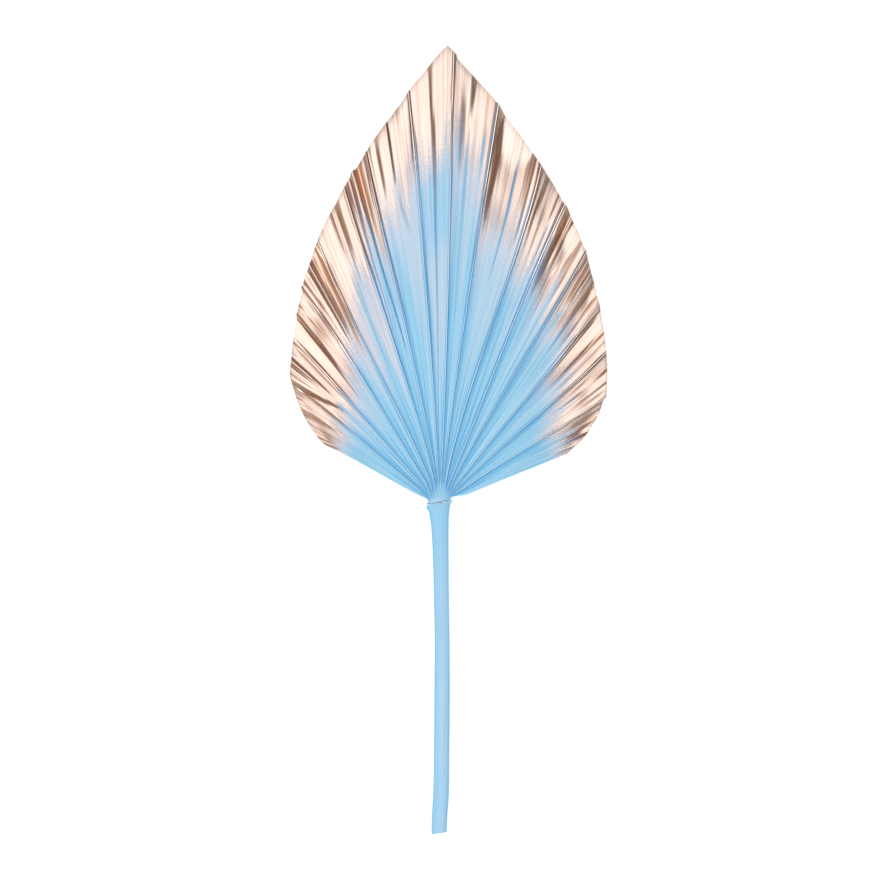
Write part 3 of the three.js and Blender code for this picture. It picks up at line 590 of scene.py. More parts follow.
def into_neck(x, y, foot_x):
    """The grid with its inner rows turned into the straight neck, and how far each row is in the fan."""
    rows = np.arange(len(x))[:, None]
    up_neck = np.clip(rows / (NECK_ROWS - 1), 0, 1)
    into_fan = np.clip((rows - NECK_ROWS + 1) / HUB_ROWS, 0, 1)
    foot_y = FOOT_ALONG + FOOT_TILT * foot_x + NECK_LENGTH * up_neck
    return mix(foot_x, x, into_fan), mix(foot_y, y, into_fan), into_fan


def plate_share(x, y):
    """1 on the smooth plate over the hub, and 0 beside it."""
    half = PLATE_HALF_WIDTH * (1 - (y - PLATE_FOOT) / (PLATE_PEAK - PLATE_FOOT))
    plate = smooth(half - np.abs(x - PLATE_CENTRE), *PLATE_EDGE)
    return plate * smooth(y, *PLATE_START) * (1 - smooth(y, *PLATE_END))


def underside(x, y, top, radius, share):
    """Height of the lower face: a sheet and the keel under the upper one, and not below the surface."""
    keel = along_lines(KEEL, y, 2) * np.sqrt(np.clip(1 - (x / along_lines(KEEL, y, 1)) ** 2, 0, 1))
    keel = keel * (1 - smooth(radius, *KEEL_FADE))
    lowest = np.minimum(top, np.minimum(np.roll(top, 1, axis=1), np.roll(top, -1, axis=1)))
    lowest[:, [0, -1]] = top[:, [0, -1]]
    ground = np.where(share > CLEAR_SHARE, 0, CLEARANCE)
    bottom = np.maximum(lowest - SHEET - keel, ground)
    return np.minimum(bottom, top - LEAST_THICKNESS * SHEET)


def blade_grid():
    """Places of the upper and lower face, and the paint on each spot."""
    bearing = columns()[None, :]
    radius = fan_rows(cut_radius(bearing))
    share = radius / rim_radius(bearing)
    bearings = bearing * np.ones_like(radius)
    turned = np.radians(bearing_at(bearings, share))
    x = radius * np.sin(turned)
    y = radius * np.cos(turned)

    slope, fade, reflected_glow = folded_slopes(bearings, share)
    folded = settled(climbed(x, y, slope), bearings)
    raised = dome_height(bearings, share) - rest_drop(bearings, share)
    relief = pleat_height(bearings, radius, share) + folded + rib_height(bearings, radius)

    lift = along_lines(EDGE_LIFT, bearings) * window(radius, *EDGE_LIFT_RADII)
    foot_x = foot_line(bearings)
    x, y, into_fan = into_neck(x, y + lift, foot_x)
    plate = plate_share(x, y)
    relief = relief * (1 - PLATE_FLATTENING * plate) + PLATE_RISE * plate
    top = mix(raised + relief, SHEET + REST_FOLDS * folded, rest_share(bearings, share))
    top = mix(neck_height(foot_x), np.maximum(top, SHEET), smooth(into_fan, 0, NECK_BLEND))
    tilt = tilt_of(x, y, top)
    top[-1] -= RIM_ROUNDING[1]
    bottom = underside(x, y, top, radius, share)

    gentle, steepest = STEEP_TILTS
    paint = paint_amounts(bearings, share, slope, fade)
    # painted shade: copper darkens with the sheet's tilt away from the light
    paint["steep"] = np.clip((tilt - gentle) / (steepest - gentle), 0, 1)
    paint["plate"] = np.maximum(plate, 1 - smooth(radius, *PLATE_PAINT_RADII))
    paint["reflected_glow"] = reflected_glow
    paint["reach"] = np.minimum(share, REACH_MOST)
    paint["grain"] = np.stack([bearings, radius * GRAIN_ALONG, np.zeros_like(radius)], -1)
    return x, y, top, bottom, paint


def tilt_of(x, y, top):
    """Tangent of the sheet's tilt in every spot."""
    across = np.gradient(top, axis=1) / np.hypot(np.gradient(x, axis=1), np.gradient(y, axis=1))
    along = np.gradient(top, axis=0) / np.hypot(np.gradient(x, axis=0), np.gradient(y, axis=0))
    return np.hypot(across, along)


def beside_ribs(bearing, share):
    """Millimetres to the nearest rib, below 0 on its left, and the shade on the right of each rib."""
    off_rib = np.full(bearing.shape, FAR_FROM_RIB)
    shade = np.zeros(bearing.shape)
    for rib in RIBS:
        off = np.radians(bearing - rib[0]) * share * rim_radius(bearing)
        off_rib = np.where(np.abs(off) < np.abs(off_rib), off, off_rib)
        end = 1 - smooth(off, SHADE_END[0], SHADE_WIDTH * share + SHADE_END[1])
        shade = np.maximum(shade, smooth(off, *SHADE_START) * end)
    return off_rib, shade


def paint_amounts(bearing, share, slope, fade):
    """How much copper and pale mist lies on each spot, where painted shade darkens it, and how near it is
    to a rib.
    """
    outward = -slope * np.sign(bearing - TIP_BEARING)
    steep = smooth(np.abs(slope), *SLATE_SLOPES)
    streaks = sum(reach * ripple2(bearing, share, spacing, STREAK_LENGTH, STREAK_SEED + index)
                  for index, (spacing, reach) in enumerate(STREAKS))
    beyond = share - fade - streaks
    copper = smooth(beyond, COPPER_START - COPPER_SOONER * steep, COPPER_FULL)
    start = along_lines(MIST, bearing) + streaks
    far_in = along_lines(MIST_STRENGTH, bearing) * smooth(share, start - MIST_EDGE[0], start + MIST_EDGE[1])
    mist = mix(far_in, 1, smooth(beyond, *MIST_AT_COPPER))
    mist *= smooth(outward, *MIST_SLOPES) * (1 - MIST_LOSS * steep)
    mist *= 1 - CLEARED * window(bearing, *CLEAR_BEARINGS) * window(share, *CLEAR_SHARES)
    off_rib, shade = beside_ribs(bearing, share)
    # painted shade: darker blue on the right of each rib and along the valleys near the hub
    rib_and_valley_shade = SHADE_DEPTH * shade * (1 - smooth(share, *SHADE_SHARES))
    for valley in VALLEYS:
        off = np.abs(np.radians(bearing - valley) * share * rim_radius(bearing))
        rib_and_valley_shade = np.maximum(rib_and_valley_shade, (1 - smooth(off, *VALLEY_WIDTH)) * (1 - smooth(share, *VALLEY_SHARES)))
    # the mask for steep facets is a painted shade on the blue
    return {"copper": copper, "mist": mist, "steep_shade": steep, "rib_and_valley_shade": rib_and_valley_shade, "rib_off": np.abs(off_rib),
            "rib_side": np.clip(off_rib / RIB_SIDE_WIDTH, -1, 1)}


def fan_centre():
    """The fan's centre in the row frame, in metres."""
    low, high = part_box("blade")
    return ((low.x + high.x) / 2 - FAN_CENTRE_LEFT_OF_MIDDLE * MM, high.y - FAN_CENTRE_BELOW_TIP * MM)


def in_metres(x, y, z):
    """Points in the row frame of places in millimetres from the fan's centre."""
    centre = fan_centre()
    return np.stack([x * MM + centre[0], y * MM + centre[1], z * MM], -1)


def sheet_faces(rows, cols):
    """Faces of a closed sheet. The underside takes only some of the rows and every other column."""
    fan_start = NECK_ROWS + HUB_ROWS
    kept = list(range(fan_start)) + list(range(fan_start, rows - 1, UNDERSIDE_STEP)) + [rows - 1]
    wide = (cols + 1) // 2
    under_row = {row: rows * cols + place * wide for place, row in enumerate(kept)}
    faces = [(a, a + 1, a + cols + 1, a + cols)
             for r in range(rows - 1) for a in range(r * cols, (r + 1) * cols - 1)]
    for first, last in zip(kept, kept[1:]):
        low, high = under_row[first], under_row[last]
        for c in range(wide - 1):
            faces.append((low + c, high + c, high + c + 1, low + c + 1))
        left = [r * cols for r in range(first, last + 1)]
        faces.append((low, *left, high))
        right = [r * cols + cols - 1 for r in range(last, first - 1, -1)]
        faces.append((high + wide - 1, *right, low + wide - 1))
    for c in range(wide - 1):
        foot, rim = 2 * c, (rows - 1) * cols + 2 * c
        under_foot, under_rim = under_row[0] + c, under_row[rows - 1] + c
        faces.append((foot + 2, foot + 1, foot, under_foot, under_foot + 1))
        faces.append((rim, rim + 1, rim + 2, under_rim + 1, under_rim))
    return faces, kept


def new_piece(name, points, faces, attributes, sharp_degrees):
    """A smooth mesh with its vertex attributes, placed in the scene."""
    mesh = bpy.data.meshes.new(name)
    mesh.from_pydata(points.tolist(), [], faces)
    for label, values in attributes.items():
        values = np.asarray(values, np.float32)
        kind, field = ("FLOAT_VECTOR", "vector") if values.ndim == 2 else ("FLOAT", "value")
        mesh.attributes.new(label, kind, "POINT").data.foreach_set(field, values.ravel())
    mesh.polygons.foreach_set("use_smooth", np.ones(len(faces), bool))
    mesh.set_sharp_from_angle(angle=math.radians(sharp_degrees))
    piece = bpy.data.objects.new(name, mesh)
    bpy.context.scene.collection.objects.link(piece)
    return piece


def make_blade():
    """The blade: one closed sheet with its paint as vertex attributes."""
    x, y, top, bottom, paint = blade_grid()
    rows, cols = x.shape
    faces, kept = sheet_faces(rows, cols)
    lower = in_metres(x, y, bottom)[kept][:, ::2]
    points = np.concatenate([in_metres(x, y, top).reshape(-1, 3), lower.reshape(-1, 3)])
    attributes = {}
    for label, values in paint.items():
        shape = (-1, 3) if values.ndim == 3 else (-1,)
        attributes[label] = np.concatenate([values.reshape(shape), values[kept][:, ::2].reshape(shape)])
    return new_piece("leaf_blade", points, faces, attributes, sharp_degrees=60)


# The stalk: place along the leaf, its middle's place to the side, width, and its middle's height.
STALK = [(-207.9, -0.6, 9.6, 3.55), (-196, -0.2, 9.8, 3.55), (-184, 0.6, 9.9, 3.65), (-160, 1, 9.7, 4.4),
         (-124, 1.3, 9.7, 5.5), (-86, 1.35, 9.35, 6), (-60, 0.9, 9.4, 5.9), (-35, 0.5, 9.9, 5.6),
         (-20, 0.15, 10.5, 5.3), (-11, -0.2, 11.3, 5.15), (-6.5, -0.5, 12.2, 5.05), (-4, -0.6, 12.9, 5),
         (-1.6, -1.35, 14.7, 4.95), (0.95, -0.7, 14.9, 4.9)]
STALK_UPPER = 3.3
STALK_LOWER = 4
STALK_FULLNESS = 0.86
CUT_TILT = 0.13
CUT_REACH = 8
LEDGE_TILT = 0.12
LEDGE_REACH = 4
STALK_SIDES = 72
STALK_ROWS = 200
LEDGE_ROWS = (0.15, 0.4, 0.8, 1.3)

# Its fibres and ridges: depth in millimetres, width in degrees and length.
FIBRES = (0.05, 6, 60)
RIDGES = (0.03, 5)
STALK_GRAIN_AROUND = 9
STALK_GRAIN_ALONG = 0.02
PALE_TOP = (-60, -8)
PALE_TOP_SHARE = 0.7


def stalk_faces(rows, sides):
    """Faces of the stalk's wall, and triangles around the middle point of each end."""
    faces = []
    for r in range(rows - 1):
        for k in range(sides):
            a, b = r * sides + k, r * sides + (k + 1) % sides
            faces.append((a, b, b + sides, a + sides))
    for k in range(sides):
        a, b = k, (k + 1) % sides
        faces.append((rows * sides, b, a))
        faces.append((rows * sides + 1, (rows - 1) * sides + a, (rows - 1) * sides + b))
    return faces


def make_stalk():
    """The stalk, from its oblique cut up to the ledge under the blade's neck."""
    first, last = STALK[0][0], STALK[-1][0]
    along = np.concatenate([np.linspace(first, last, STALK_ROWS), last - np.array(LEDGE_ROWS)])
    along = np.sort(along)[:, None]
    middle, width, axis = (along_curve([(s[0], s[i]) for s in STALK], along) for i in (1, 2, 3))
    turn = np.linspace(0, 2 * math.pi, STALK_SIDES, endpoint=False)[None, :]
    c, s = np.cos(turn), -np.sin(turn)
    fibre = FIBRES[0] * ripple2(np.degrees(turn), along, FIBRES[1], FIBRES[2], FIBRE_SEED)
    fibre = fibre + RIDGES[0] * ripple(np.degrees(turn), RIDGES[1], SEED)
    half = width / 2 + fibre
    x = middle + half * np.sign(c) * np.abs(c) ** STALK_FULLNESS
    depth = np.where(s > 0, STALK_UPPER, STALK_LOWER) + fibre
    z = np.maximum(axis + depth * np.sign(s) * np.abs(s) ** STALK_FULLNESS, 0)
    cut = CUT_TILT * (1 - smooth(along, first, first + CUT_REACH))
    ledge = LEDGE_TILT * smooth(along, last - LEDGE_REACH, last)
    y = along + (cut + ledge) * x
    rows, sides = x.shape
    points = in_metres(x, y, z).reshape(-1, 3)
    points = np.concatenate([points, [points[:sides].mean(0), points[-sides:].mean(0)]])

    everywhere = np.ones_like(x)
    around = STALK_GRAIN_AROUND * everywhere
    grain = np.stack([c * around, y * STALK_GRAIN_ALONG, -s * around], -1).reshape(-1, 3)
    # painted shade: darker towards the two sides of the stalk, where they turn from the light
    flank_shade = (np.abs(c) * everywhere).ravel()
    upper = (PALE_TOP_SHARE * smooth(along, *PALE_TOP) * everywhere).ravel()
    paint = {label: np.concatenate([values, np.zeros_like(values[:2])])
             for label, values in (("grain", grain), ("flank_shade", flank_shade), ("upper", upper))}
    return new_piece("leaf_stalk", points, stalk_faces(rows, sides), paint, sharp_degrees=50)


# Torn fibres in the crack above the ledge: along each strip its x and y in millimetres, and half its width.
TORN = [[(-6.5, 0.9, 0.1), (-4.6, 1.2, 0.2), (-2.5, 1.75, 0.16), (-0.6, 2.1, 0.34), (0.6, 2.15, 0.45),
         (1.5, 2.1, 0.1)],
        [(0.9, 2.85, 0.08), (2.5, 3.15, 0.2), (4.3, 3.3, 0.14), (5.8, 3.3, 0.06)],
        [(4.2, 1.9, 0.1), (4.4, 2.5, 0.3), (4.3, 3, 0.12)],
        [(-7.6, 0.4, 0.1), (-8, 1.1, 0.35), (-7.3, 1.7, 0.2), (-6.7, 1.2, 0.1)],
        [(-7.5, 3.3, 0.1), (-7, 3.6, 0.4), (-6.5, 3.2, 0.1)],
        [(7.15, 3.4, 0.08), (7.35, 2.3, 0.2), (7.1, 1.2, 0.08)]]
TORN_HEIGHT = 0.3
TORN_PROFILE = [(-1, -0.3), (-0.5, 0.8), (0.5, 0.8), (1, -0.3), (0, -0.6)]
TORN_WIDEST = 0.98
TORN_REDDEST = (0.4, 2.1)
TORN_RED_REACH = (0.6, 2.4)


def make_torn_fibres():
    """Thin dark strips with a rounded back, lying on the neck."""
    sides = len(TORN_PROFILE)
    points, faces, red = [], [], []
    for strip in TORN:
        path = np.array(strip)
        rows = len(path)
        ahead = np.gradient(path[:, :2], axis=0)
        aside = np.stack([-ahead[:, 1], ahead[:, 0]], -1) / np.hypot(ahead[:, 0], ahead[:, 1])[:, None]
        start = len(points)
        for place, side in zip(path, aside):
            ground = neck_height(place[0], TORN_WIDEST)
            for across, up in TORN_PROFILE:
                x, y = place[:2] + side * place[2] * across
                points.append((x, y, ground + up * TORN_HEIGHT))
                away = math.hypot(x - TORN_REDDEST[0], y - TORN_REDDEST[1])
                red.append(1 - smooth(away, *TORN_RED_REACH))
        for r in range(rows - 1):
            for k in range(sides):
                a, b = start + sides * r + k, start + sides * r + (k + 1) % sides
                faces.append((a, a + sides, b + sides, b))
        last = start + sides * (rows - 1)
        faces.append(tuple(range(start, start + sides)))
        faces.append(tuple(range(last + sides - 1, last - 1, -1)))
    points = in_metres(*np.array(points).T)
    return new_piece("torn_fibres", points, faces, {"red": np.array(red, float)}, sharp_degrees=60)


# Materials

class Nodes:
    """Short calls for building the node tree of a material or of the world."""

    def __init__(self, owner):
        owner.use_nodes = True
        self.owner = owner
        self.tree = owner.node_tree
        self.shader = self.tree.nodes.get("Principled BSDF")

    def new(self, kind, **settings):
        node = self.tree.nodes.new(kind)
        for key, value in settings.items():
            setattr(node, key, value)
        return node

    def put(self, value, socket):
        """Link the input to another node's output, or set it to a value."""
        if isinstance(value, bpy.types.NodeSocket):
            self.tree.links.new(value, socket)
        else:
            socket.default_value = value

    def shade(self, name, value):
        self.put(value, self.shader.inputs[name])

    def made(self, kind, inputs, output=0, **settings):
        """One output of a new node whose inputs are given by number or name."""
        node = self.new(kind, **settings)
        for place, value in inputs.items():
            self.put(value, node.inputs[place])
        return node.outputs[output]

    def attribute(self, name, output="Fac"):
        return self.made("ShaderNodeAttribute", {}, output, attribute_name=name)

    def noise(self, vector, scale, detail):
        return self.made("ShaderNodeTexNoise", {"Vector": vector, "Scale": scale, "Detail": detail}, "Fac")

    def scaled(self, vector, factors):
        return self.made("ShaderNodeVectorMath", {0: vector, 1: factors}, operation="MULTIPLY")

    def maths(self, operation, a, b, c=0.0):
        return self.made("ShaderNodeMath", {0: a, 1: b, 2: c}, operation=operation)

    def times(self, a, b):
        return self.maths("MULTIPLY", a, b)

    def ranged(self, value, low, high, to_low=0.0, to_high=1.0):
        """The value with low turned into to_low and high into to_high, and kept between them."""
        inputs = {0: value, 1: low, 2: high, 3: to_low, 4: to_high}
        return self.made("ShaderNodeMapRange", inputs, "Result")

    def blend(self, share, a, b):
        """Mix of two colours."""
        return self.made("ShaderNodeMix", {0: share, 6: a, 7: b}, 2, data_type="RGBA")

    def mean(self, share, a, b):
        """Mix of two numbers."""
        return self.made("ShaderNodeMix", {0: share, 2: a, 3: b})

    def layered(self, colour, layers, masks):
        """The colour under its layers, each as strong as its mask is on the way from low to high."""
        for mask, low, high, most, over in layers:
            colour = self.blend(self.ranged(masks[mask], low, high, 0.0, most), colour, over)
        return colour

    def bump(self, height, distance, strength, normal=None):
        inputs = {"Height": height, "Distance": distance, "Strength": strength}
        if normal is not None:
            inputs["Normal"] = normal
        return self.made("ShaderNodeBump", inputs, "Normal")


BLUE = (0.24, 0.572, 0.8, 1)
# the fibres' darker blue, and the painted shade beside ribs and in valleys
BLUE_DEEP = (0.1, 0.43, 0.74, 1)
BLUE_PALE = (0.34, 0.647, 0.84, 1)
PLATE_BLUE = (0.29, 0.6, 0.82, 1)
# painted shade on steep facets in the blue
SLATE_SHADE = (0.12, 0.3, 0.55, 1)
LILAC = (0.71, 0.68, 0.77, 1)
PINK = (0.76, 0.67, 0.68, 1)
COPPER = (0.575, 0.487, 0.435, 1)
# Copper's mid, deep and darkest tones: painted shade on tilted facets; the mid and deep ones are also its
# own streaks, droplets and fibres.
COPPER_MID = (0.67, 0.5, 0.42, 1)
COPPER_DEEP = (0.46, 0.26, 0.185, 1)
COPPER_DARKEST_SHADE = (0.28, 0.15, 0.1, 1)
# painted reflection: orange glow where copper faces copper
COPPER_GLOW = (0.8, 0.4, 0.18, 1)
# painted highlight on rib crests in the copper
CREST_HIGHLIGHT = (0.92, 0.88, 0.84, 1)
# The next two: painted shade lines beside the ribs, in the blue and in the copper.
RIB_SHADE_BLUE = (0.03, 0.25, 0.55, 1)
RIB_SHADE_BROWN = (0.13, 0.075, 0.05, 1)
GRAIN_PALE = (0.6, 0.78, 0.9, 1)
# pale fibres, and the painted highlight on rib crests in the blue
FIBRE_AND_HIGHLIGHT_BLUE = (0.6, 0.76, 0.9, 1)
STALK_BLUE = (0.28, 0.6, 0.84, 1)
STALK_LILAC = (0.46, 0.66, 0.87, 1)
# painted shade at the stalk's two sides
STALK_SIDE_SHADE = (0.14, 0.5, 0.84, 1)
TORN_DARK = (0.1, 0.13, 0.2, 1)
TORN_RED = (0.45, 0.12, 0.06, 1)
WHITE = (1, 1, 1, 1)

# Layers of paint and of painted shade, highlight and reflection: mask, its value where the layer is absent
# and full, strength and colour.
BLUE_LAYERS = [
    # Painted shade: the layers beside the ribs and valleys and on steep facets. The rest are the paint's
    # own streaks, fibres and hub plate.
    ("streaks", 0.35, 0.65, 1, BLUE_PALE), ("fibres", 0.49, 0.33, 0.75, BLUE_DEEP),
    ("fibres", 0.54, 0.7, 0.75, FIBRE_AND_HIGHLIGHT_BLUE), ("rib_and_valley_shade", 0, 1, 1, BLUE_DEEP), ("plate", 0, 1, 1, PLATE_BLUE),
    ("steep_shade", 0, 1, 0.85, SLATE_SHADE)]
OVER_MIST = [
    # The crest layer is a painted highlight and the line layer painted shade; the droplets are the spray's
    # own.
    ("droplets", 0.45, 0.65, 0.16, GRAIN_PALE), ("crest", 0, 1, 0.5, FIBRE_AND_HIGHLIGHT_BLUE),
    ("line", 0, 1, 0.8, RIB_SHADE_BLUE)]
COPPER_LAYERS = [
    # The three tilt layers are painted shade, the glow layer a painted reflection, the crest layer a
    # painted highlight and the line layer painted shade; fibres, streaks and droplets are the paint's own.
    ("steep", 0, 0.3, 1, COPPER_MID), ("steep", 0.25, 0.75, 1, COPPER_DEEP),
    ("steep", 0.65, 1, 1, COPPER_DARKEST_SHADE), ("fibres", 0.5, 0.32, 0.6, COPPER_DEEP),
    ("reflected_glow", 0, 1, 0.7, COPPER_GLOW), ("brushed", 0.48, 0.68, 0.65, COPPER_MID),
    ("droplets", 0.48, 0.66, 0.3, COPPER_MID), ("crest", 0, 1, 0.75, CREST_HIGHLIGHT), ("line", 0, 1, 0.7, RIB_SHADE_BROWN)]
STALK_LAYERS = [
    ("fibres", 0.38, 0.62, 1, STALK_LILAC), ("upper", 0, 1, 1, STALK_BLUE),
    # painted shade at the stalk's two sides
    ("flank_shade", 0.7, 1, 0.9, STALK_SIDE_SHADE)]

# Grain along the folds: fineness across and along them, and detail.
GRAINS = {"fine": ((2.8, 0.12, 1), 3.0), "wide": ((1.0, 0.12, 1), 3.0), "streaks": ((0.9, 0.2, 1), 2.0),
          "brushed": ((5.5, 0.25, 1), 2.0)}
FINE_REACH = (0.2, 0.6)
STALK_GRAIN = ((1.6, 0.5, 1), 3.0)

# Grain of the spray: fineness and detail, and how much it breaks up the copper's edge.
DROPLETS = (1300.0, 1.0)
COARSE_DROPLETS = (300.0, 2.0)
STALK_SPECK = (900.0, 2.0)
DROPLET_SPECKLE = 6.0
COARSE_SPECKLE = 2.0

# Mist by streak and by droplet: two values of the grain, and the mist left at each.
MIST_STREAKS = (0.35, 0.6, 0.62, 1.0)
MIST_DROPLETS = (0.35, 0.6, 0.8, 1.0)
PINK_MIST = (0.6, 1.0)

# A rib's painted highlight on its crest and its painted shade lines at the sides, in millimetres from its
# middle.
CREST_END = (0.2, 0.36)
LINE_START = (0.3, 0.46)
LINE_END = (0.7, 0.95)
LEFT_LINE = 0.4
LINE_ON_PLATE = 0.45

PAINT_ROUGHNESS = 0.55
COPPER_ROUGHNESS = 0.3

# Bumps: height in metres and strength.
FIBRE_BUMP = (0.0007, 1.0)
BUMP_ON_COPPER = 0.45
DROPLET_BUMP = (0.00006, 0.5)
STALK_FIBRE_BUMP = (0.00012, 0.7)
STALK_SPECK_BUMP = (0.00003, 0.3)


def rib_shade_and_highlight(n):
    """Thin dark lines of painted shade at the two sides of each rib, stronger on the right where the light
    falls away, and a painted highlight on its pale crest.
    """
    off = n.attribute("rib_off")
    right = n.ranged(n.attribute("rib_side"), -0.5, 0.5, LEFT_LINE, 1.0)
    line = n.times(n.ranged(off, *LINE_START), n.ranged(off, *LINE_END, 1.0, 0.0))
    bare = n.ranged(n.attribute("plate"), 0.0, 1.0, 1.0, LINE_ON_PLATE)
    line = n.times(n.times(line, right), bare)
    return line, n.times(n.ranged(off, *CREST_END, 1.0, 0.0), bare)


def blade_masks(n, place):
    """Everything that the layers of the blade's paint go by."""
    grain = n.attribute("grain", "Vector")
    masks = {name: n.attribute(name) for name in ("rib_and_valley_shade", "plate", "steep_shade", "steep", "reflected_glow", "reach")}
    for name, (fineness, detail) in GRAINS.items():
        masks[name] = n.noise(n.scaled(grain, fineness), 1.0, detail)
    masks["fibres"] = n.mean(n.ranged(masks["reach"], *FINE_REACH), masks["wide"], masks["fine"])
    masks["droplets"] = n.noise(place, *DROPLETS)
    # painted shade lines beside the ribs and a painted highlight on their crests
    masks["line"], masks["crest"] = rib_shade_and_highlight(n)
    return masks


def copper_share(n, droplets, coarse):
    """Where the paint is copper, with an edge that is broken up into droplets."""
    copper = n.attribute("copper")
    spread = n.times(copper, n.maths("SUBTRACT", 1.0, copper))
    speckle = n.maths("ADD", n.times(n.maths("SUBTRACT", droplets, 0.5), DROPLET_SPECKLE),
                      n.times(n.maths("SUBTRACT", coarse, 0.5), COARSE_SPECKLE))
    return n.ranged(n.maths("ADD", copper, n.times(spread, speckle)), 0.0, 1.0)


def blade_material():
    """Matt blue under a copper mist, and metallic copper towards the rim."""
    n = Nodes(bpy.data.materials.new("sprayed_blade"))
    place = n.made("ShaderNodeTexCoord", {}, "Object")
    masks = blade_masks(n, place)
    droplets = masks["droplets"]
    copper = copper_share(n, droplets, n.noise(place, *COARSE_DROPLETS))
    mist = n.times(n.attribute("mist"), n.ranged(masks["streaks"], *MIST_STREAKS))
    mist = n.times(mist, n.ranged(droplets, *MIST_DROPLETS))
    blue = n.layered(BLUE, BLUE_LAYERS, masks)
    blue = n.blend(mist, blue, n.blend(n.ranged(mist, *PINK_MIST), LILAC, PINK))
    blue = n.layered(blue, OVER_MIST, masks)
    metal = n.layered(COPPER, COPPER_LAYERS, masks)
    n.shade("Base Color", n.blend(copper, blue, metal))
    n.shade("Metallic", n.times(copper, 0.92))
    n.shade("Roughness", n.ranged(copper, 0.0, 1.0, PAINT_ROUGHNESS, COPPER_ROUGHNESS))
    relief = n.times(masks["fibres"], masks["reach"])
    relief = n.times(relief, n.ranged(copper, 0.0, 1.0, 1.0, BUMP_ON_COPPER))
    n.shade("Normal", n.bump(relief, *FIBRE_BUMP, n.bump(droplets, *DROPLET_BUMP)))
    return n.owner


def stalk_material():
    """Matt blue with pale fibres, plain below the ledge, and darker blue at the two sides as painted shade.
    """
    n = Nodes(bpy.data.materials.new("sprayed_stalk"))
    place = n.made("ShaderNodeTexCoord", {}, "Object")
    fineness, detail = STALK_GRAIN
    masks = {name: n.attribute(name) for name in ("upper", "flank_shade")}
    masks["fibres"] = n.noise(n.scaled(n.attribute("grain", "Vector"), fineness), 1.0, detail)
    n.shade("Base Color", n.layered(STALK_BLUE, STALK_LAYERS, masks))
    n.shade("Roughness", PAINT_ROUGHNESS)
    speck = n.bump(n.noise(place, *STALK_SPECK), *STALK_SPECK_BUMP)
    n.shade("Normal", n.bump(masks["fibres"], *STALK_FIBRE_BUMP, speck))
    return n.owner


def torn_material():
    """Dark torn fibre, reddish at one spot."""
    n = Nodes(bpy.data.materials.new("torn_fibre"))
    n.shade("Base Color", n.blend(n.attribute("red"), TORN_DARK, TORN_RED))
    n.shade("Roughness", 0.7)
    return n.owner


# Floor, light and camera


def make_floor():
    """A pale matt floor that glows a little."""
    bpy.ops.mesh.primitive_plane_add(size=8, location=(0, 0, 0))
    floor = bpy.context.object
    floor.name = "floor"
    n = Nodes(bpy.data.materials.new("pale_floor"))
    n.shade("Base Color", (0.86, 0.86, 0.86, 1))
    n.shade("Roughness", 0.9)
    n.shade("Specular IOR Level", 0.0)
    n.shade("Emission Color", WHITE)
    n.shade("Emission Strength", 0.4)
    floor.data.materials.append(n.owner)


# Brightness of the studio by the upward part of the direction, from straight down to straight up.
SKY = [(-1, 0.4), (0, 0.24), (0.34, 0.34), (0.5, 0.47), (0.64, 0.68), (0.77, 0.98), (0.866, 1.4),
       (0.94, 2), (0.98, 2.4), (1, 2.4)]
SKY_PEAK = 2.5
SKY_FROM_LEFT = 0.34
SKY_SEEN = 0.95  # what the camera sees of it


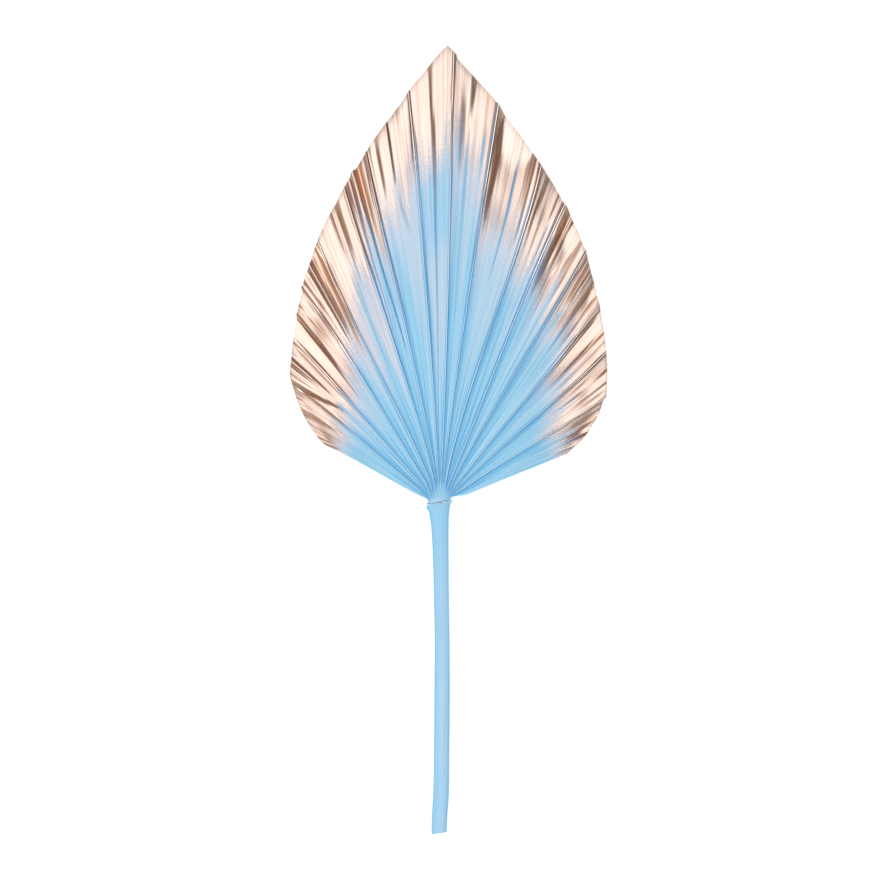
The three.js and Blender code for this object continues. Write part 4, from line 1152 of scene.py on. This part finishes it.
def make_light():
    """A wide soft light overhead, a little stronger from the left, and dim sides."""
    world = bpy.data.worlds.new("studio")
    bpy.context.scene.world = world
    n = Nodes(world)
    direction = n.new("ShaderNodeSeparateXYZ")
    n.put(n.made("ShaderNodeTexCoord", {}, "Generated"), direction.inputs[0])
    ramp = n.new("ShaderNodeFloatCurve")
    curve = ramp.mapping.curves[0]
    while len(curve.points) < len(SKY):
        curve.points.new(0.5, 0.5)
    for point, (up, brightness) in zip(curve.points, SKY):
        point.location = (up / 2 + 0.5, brightness / SKY_PEAK)
        point.handle_type = "VECTOR"
    ramp.mapping.update()
    n.put(n.maths("MULTIPLY_ADD", direction.outputs["Z"], 0.5, 0.5), ramp.inputs["Value"])
    from_left = n.maths("MULTIPLY_ADD", direction.outputs["X"], -SKY_FROM_LEFT, 1.0)
    light = n.times(n.times(ramp.outputs["Value"], from_left), SKY_PEAK)
    seen = n.made("ShaderNodeLightPath", {}, "Is Camera Ray")
    background = n.tree.nodes["Background"]
    n.put(n.mean(seen, light, SKY_SEEN), background.inputs["Strength"])
    background.inputs["Color"].default_value = WHITE


# The photograph's size and the leaf's place in it, in pixels.
IMAGE_PIXELS = 886
LEAF_LENGTH = 500
TIP_PIXEL = 46
CUT_PIXEL = 834
FAN_CENTRE_PIXEL = (440, 505.5)
CAMERA_DISTANCE = 2.6
MIDDLE_HEIGHT = 0.006
SENSOR_WIDTH = 36


def make_camera():
    """Straight above the leaf, framed as in the photograph."""
    per_pixel = LEAF_LENGTH * MM / (CUT_PIXEL - TIP_PIXEL)
    centre = fan_centre()
    aim_x = centre[0] + (IMAGE_PIXELS / 2 - FAN_CENTRE_PIXEL[0]) * per_pixel
    aim_y = centre[1] + (FAN_CENTRE_PIXEL[1] - IMAGE_PIXELS / 2) * per_pixel
    data = bpy.data.cameras.new("camera")
    data.sensor_width = SENSOR_WIDTH
    data.lens = SENSOR_WIDTH * CAMERA_DISTANCE / (IMAGE_PIXELS * per_pixel)
    data.clip_end = 50
    camera = bpy.data.objects.new("camera", data)
    camera.location = (aim_x, aim_y, CAMERA_DISTANCE + MIDDLE_HEIGHT)
    bpy.context.scene.collection.objects.link(camera)
    bpy.context.scene.camera = camera


def main():
    bpy.context.scene.view_settings.view_transform = "Standard"
    make_camera()
    make_light()
    make_floor()
    blade = make_blade()
    blade.data.materials.append(blade_material())
    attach(blade, "root")
    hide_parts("blade")
    stalk = make_stalk()
    stalk.data.materials.append(stalk_material())
    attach(stalk, "root")
    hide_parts("petiole")
    torn = make_torn_fibres()
    torn.data.materials.append(torn_material())
    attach(torn, "root")
    bpy.context.view_layer.update()


main()
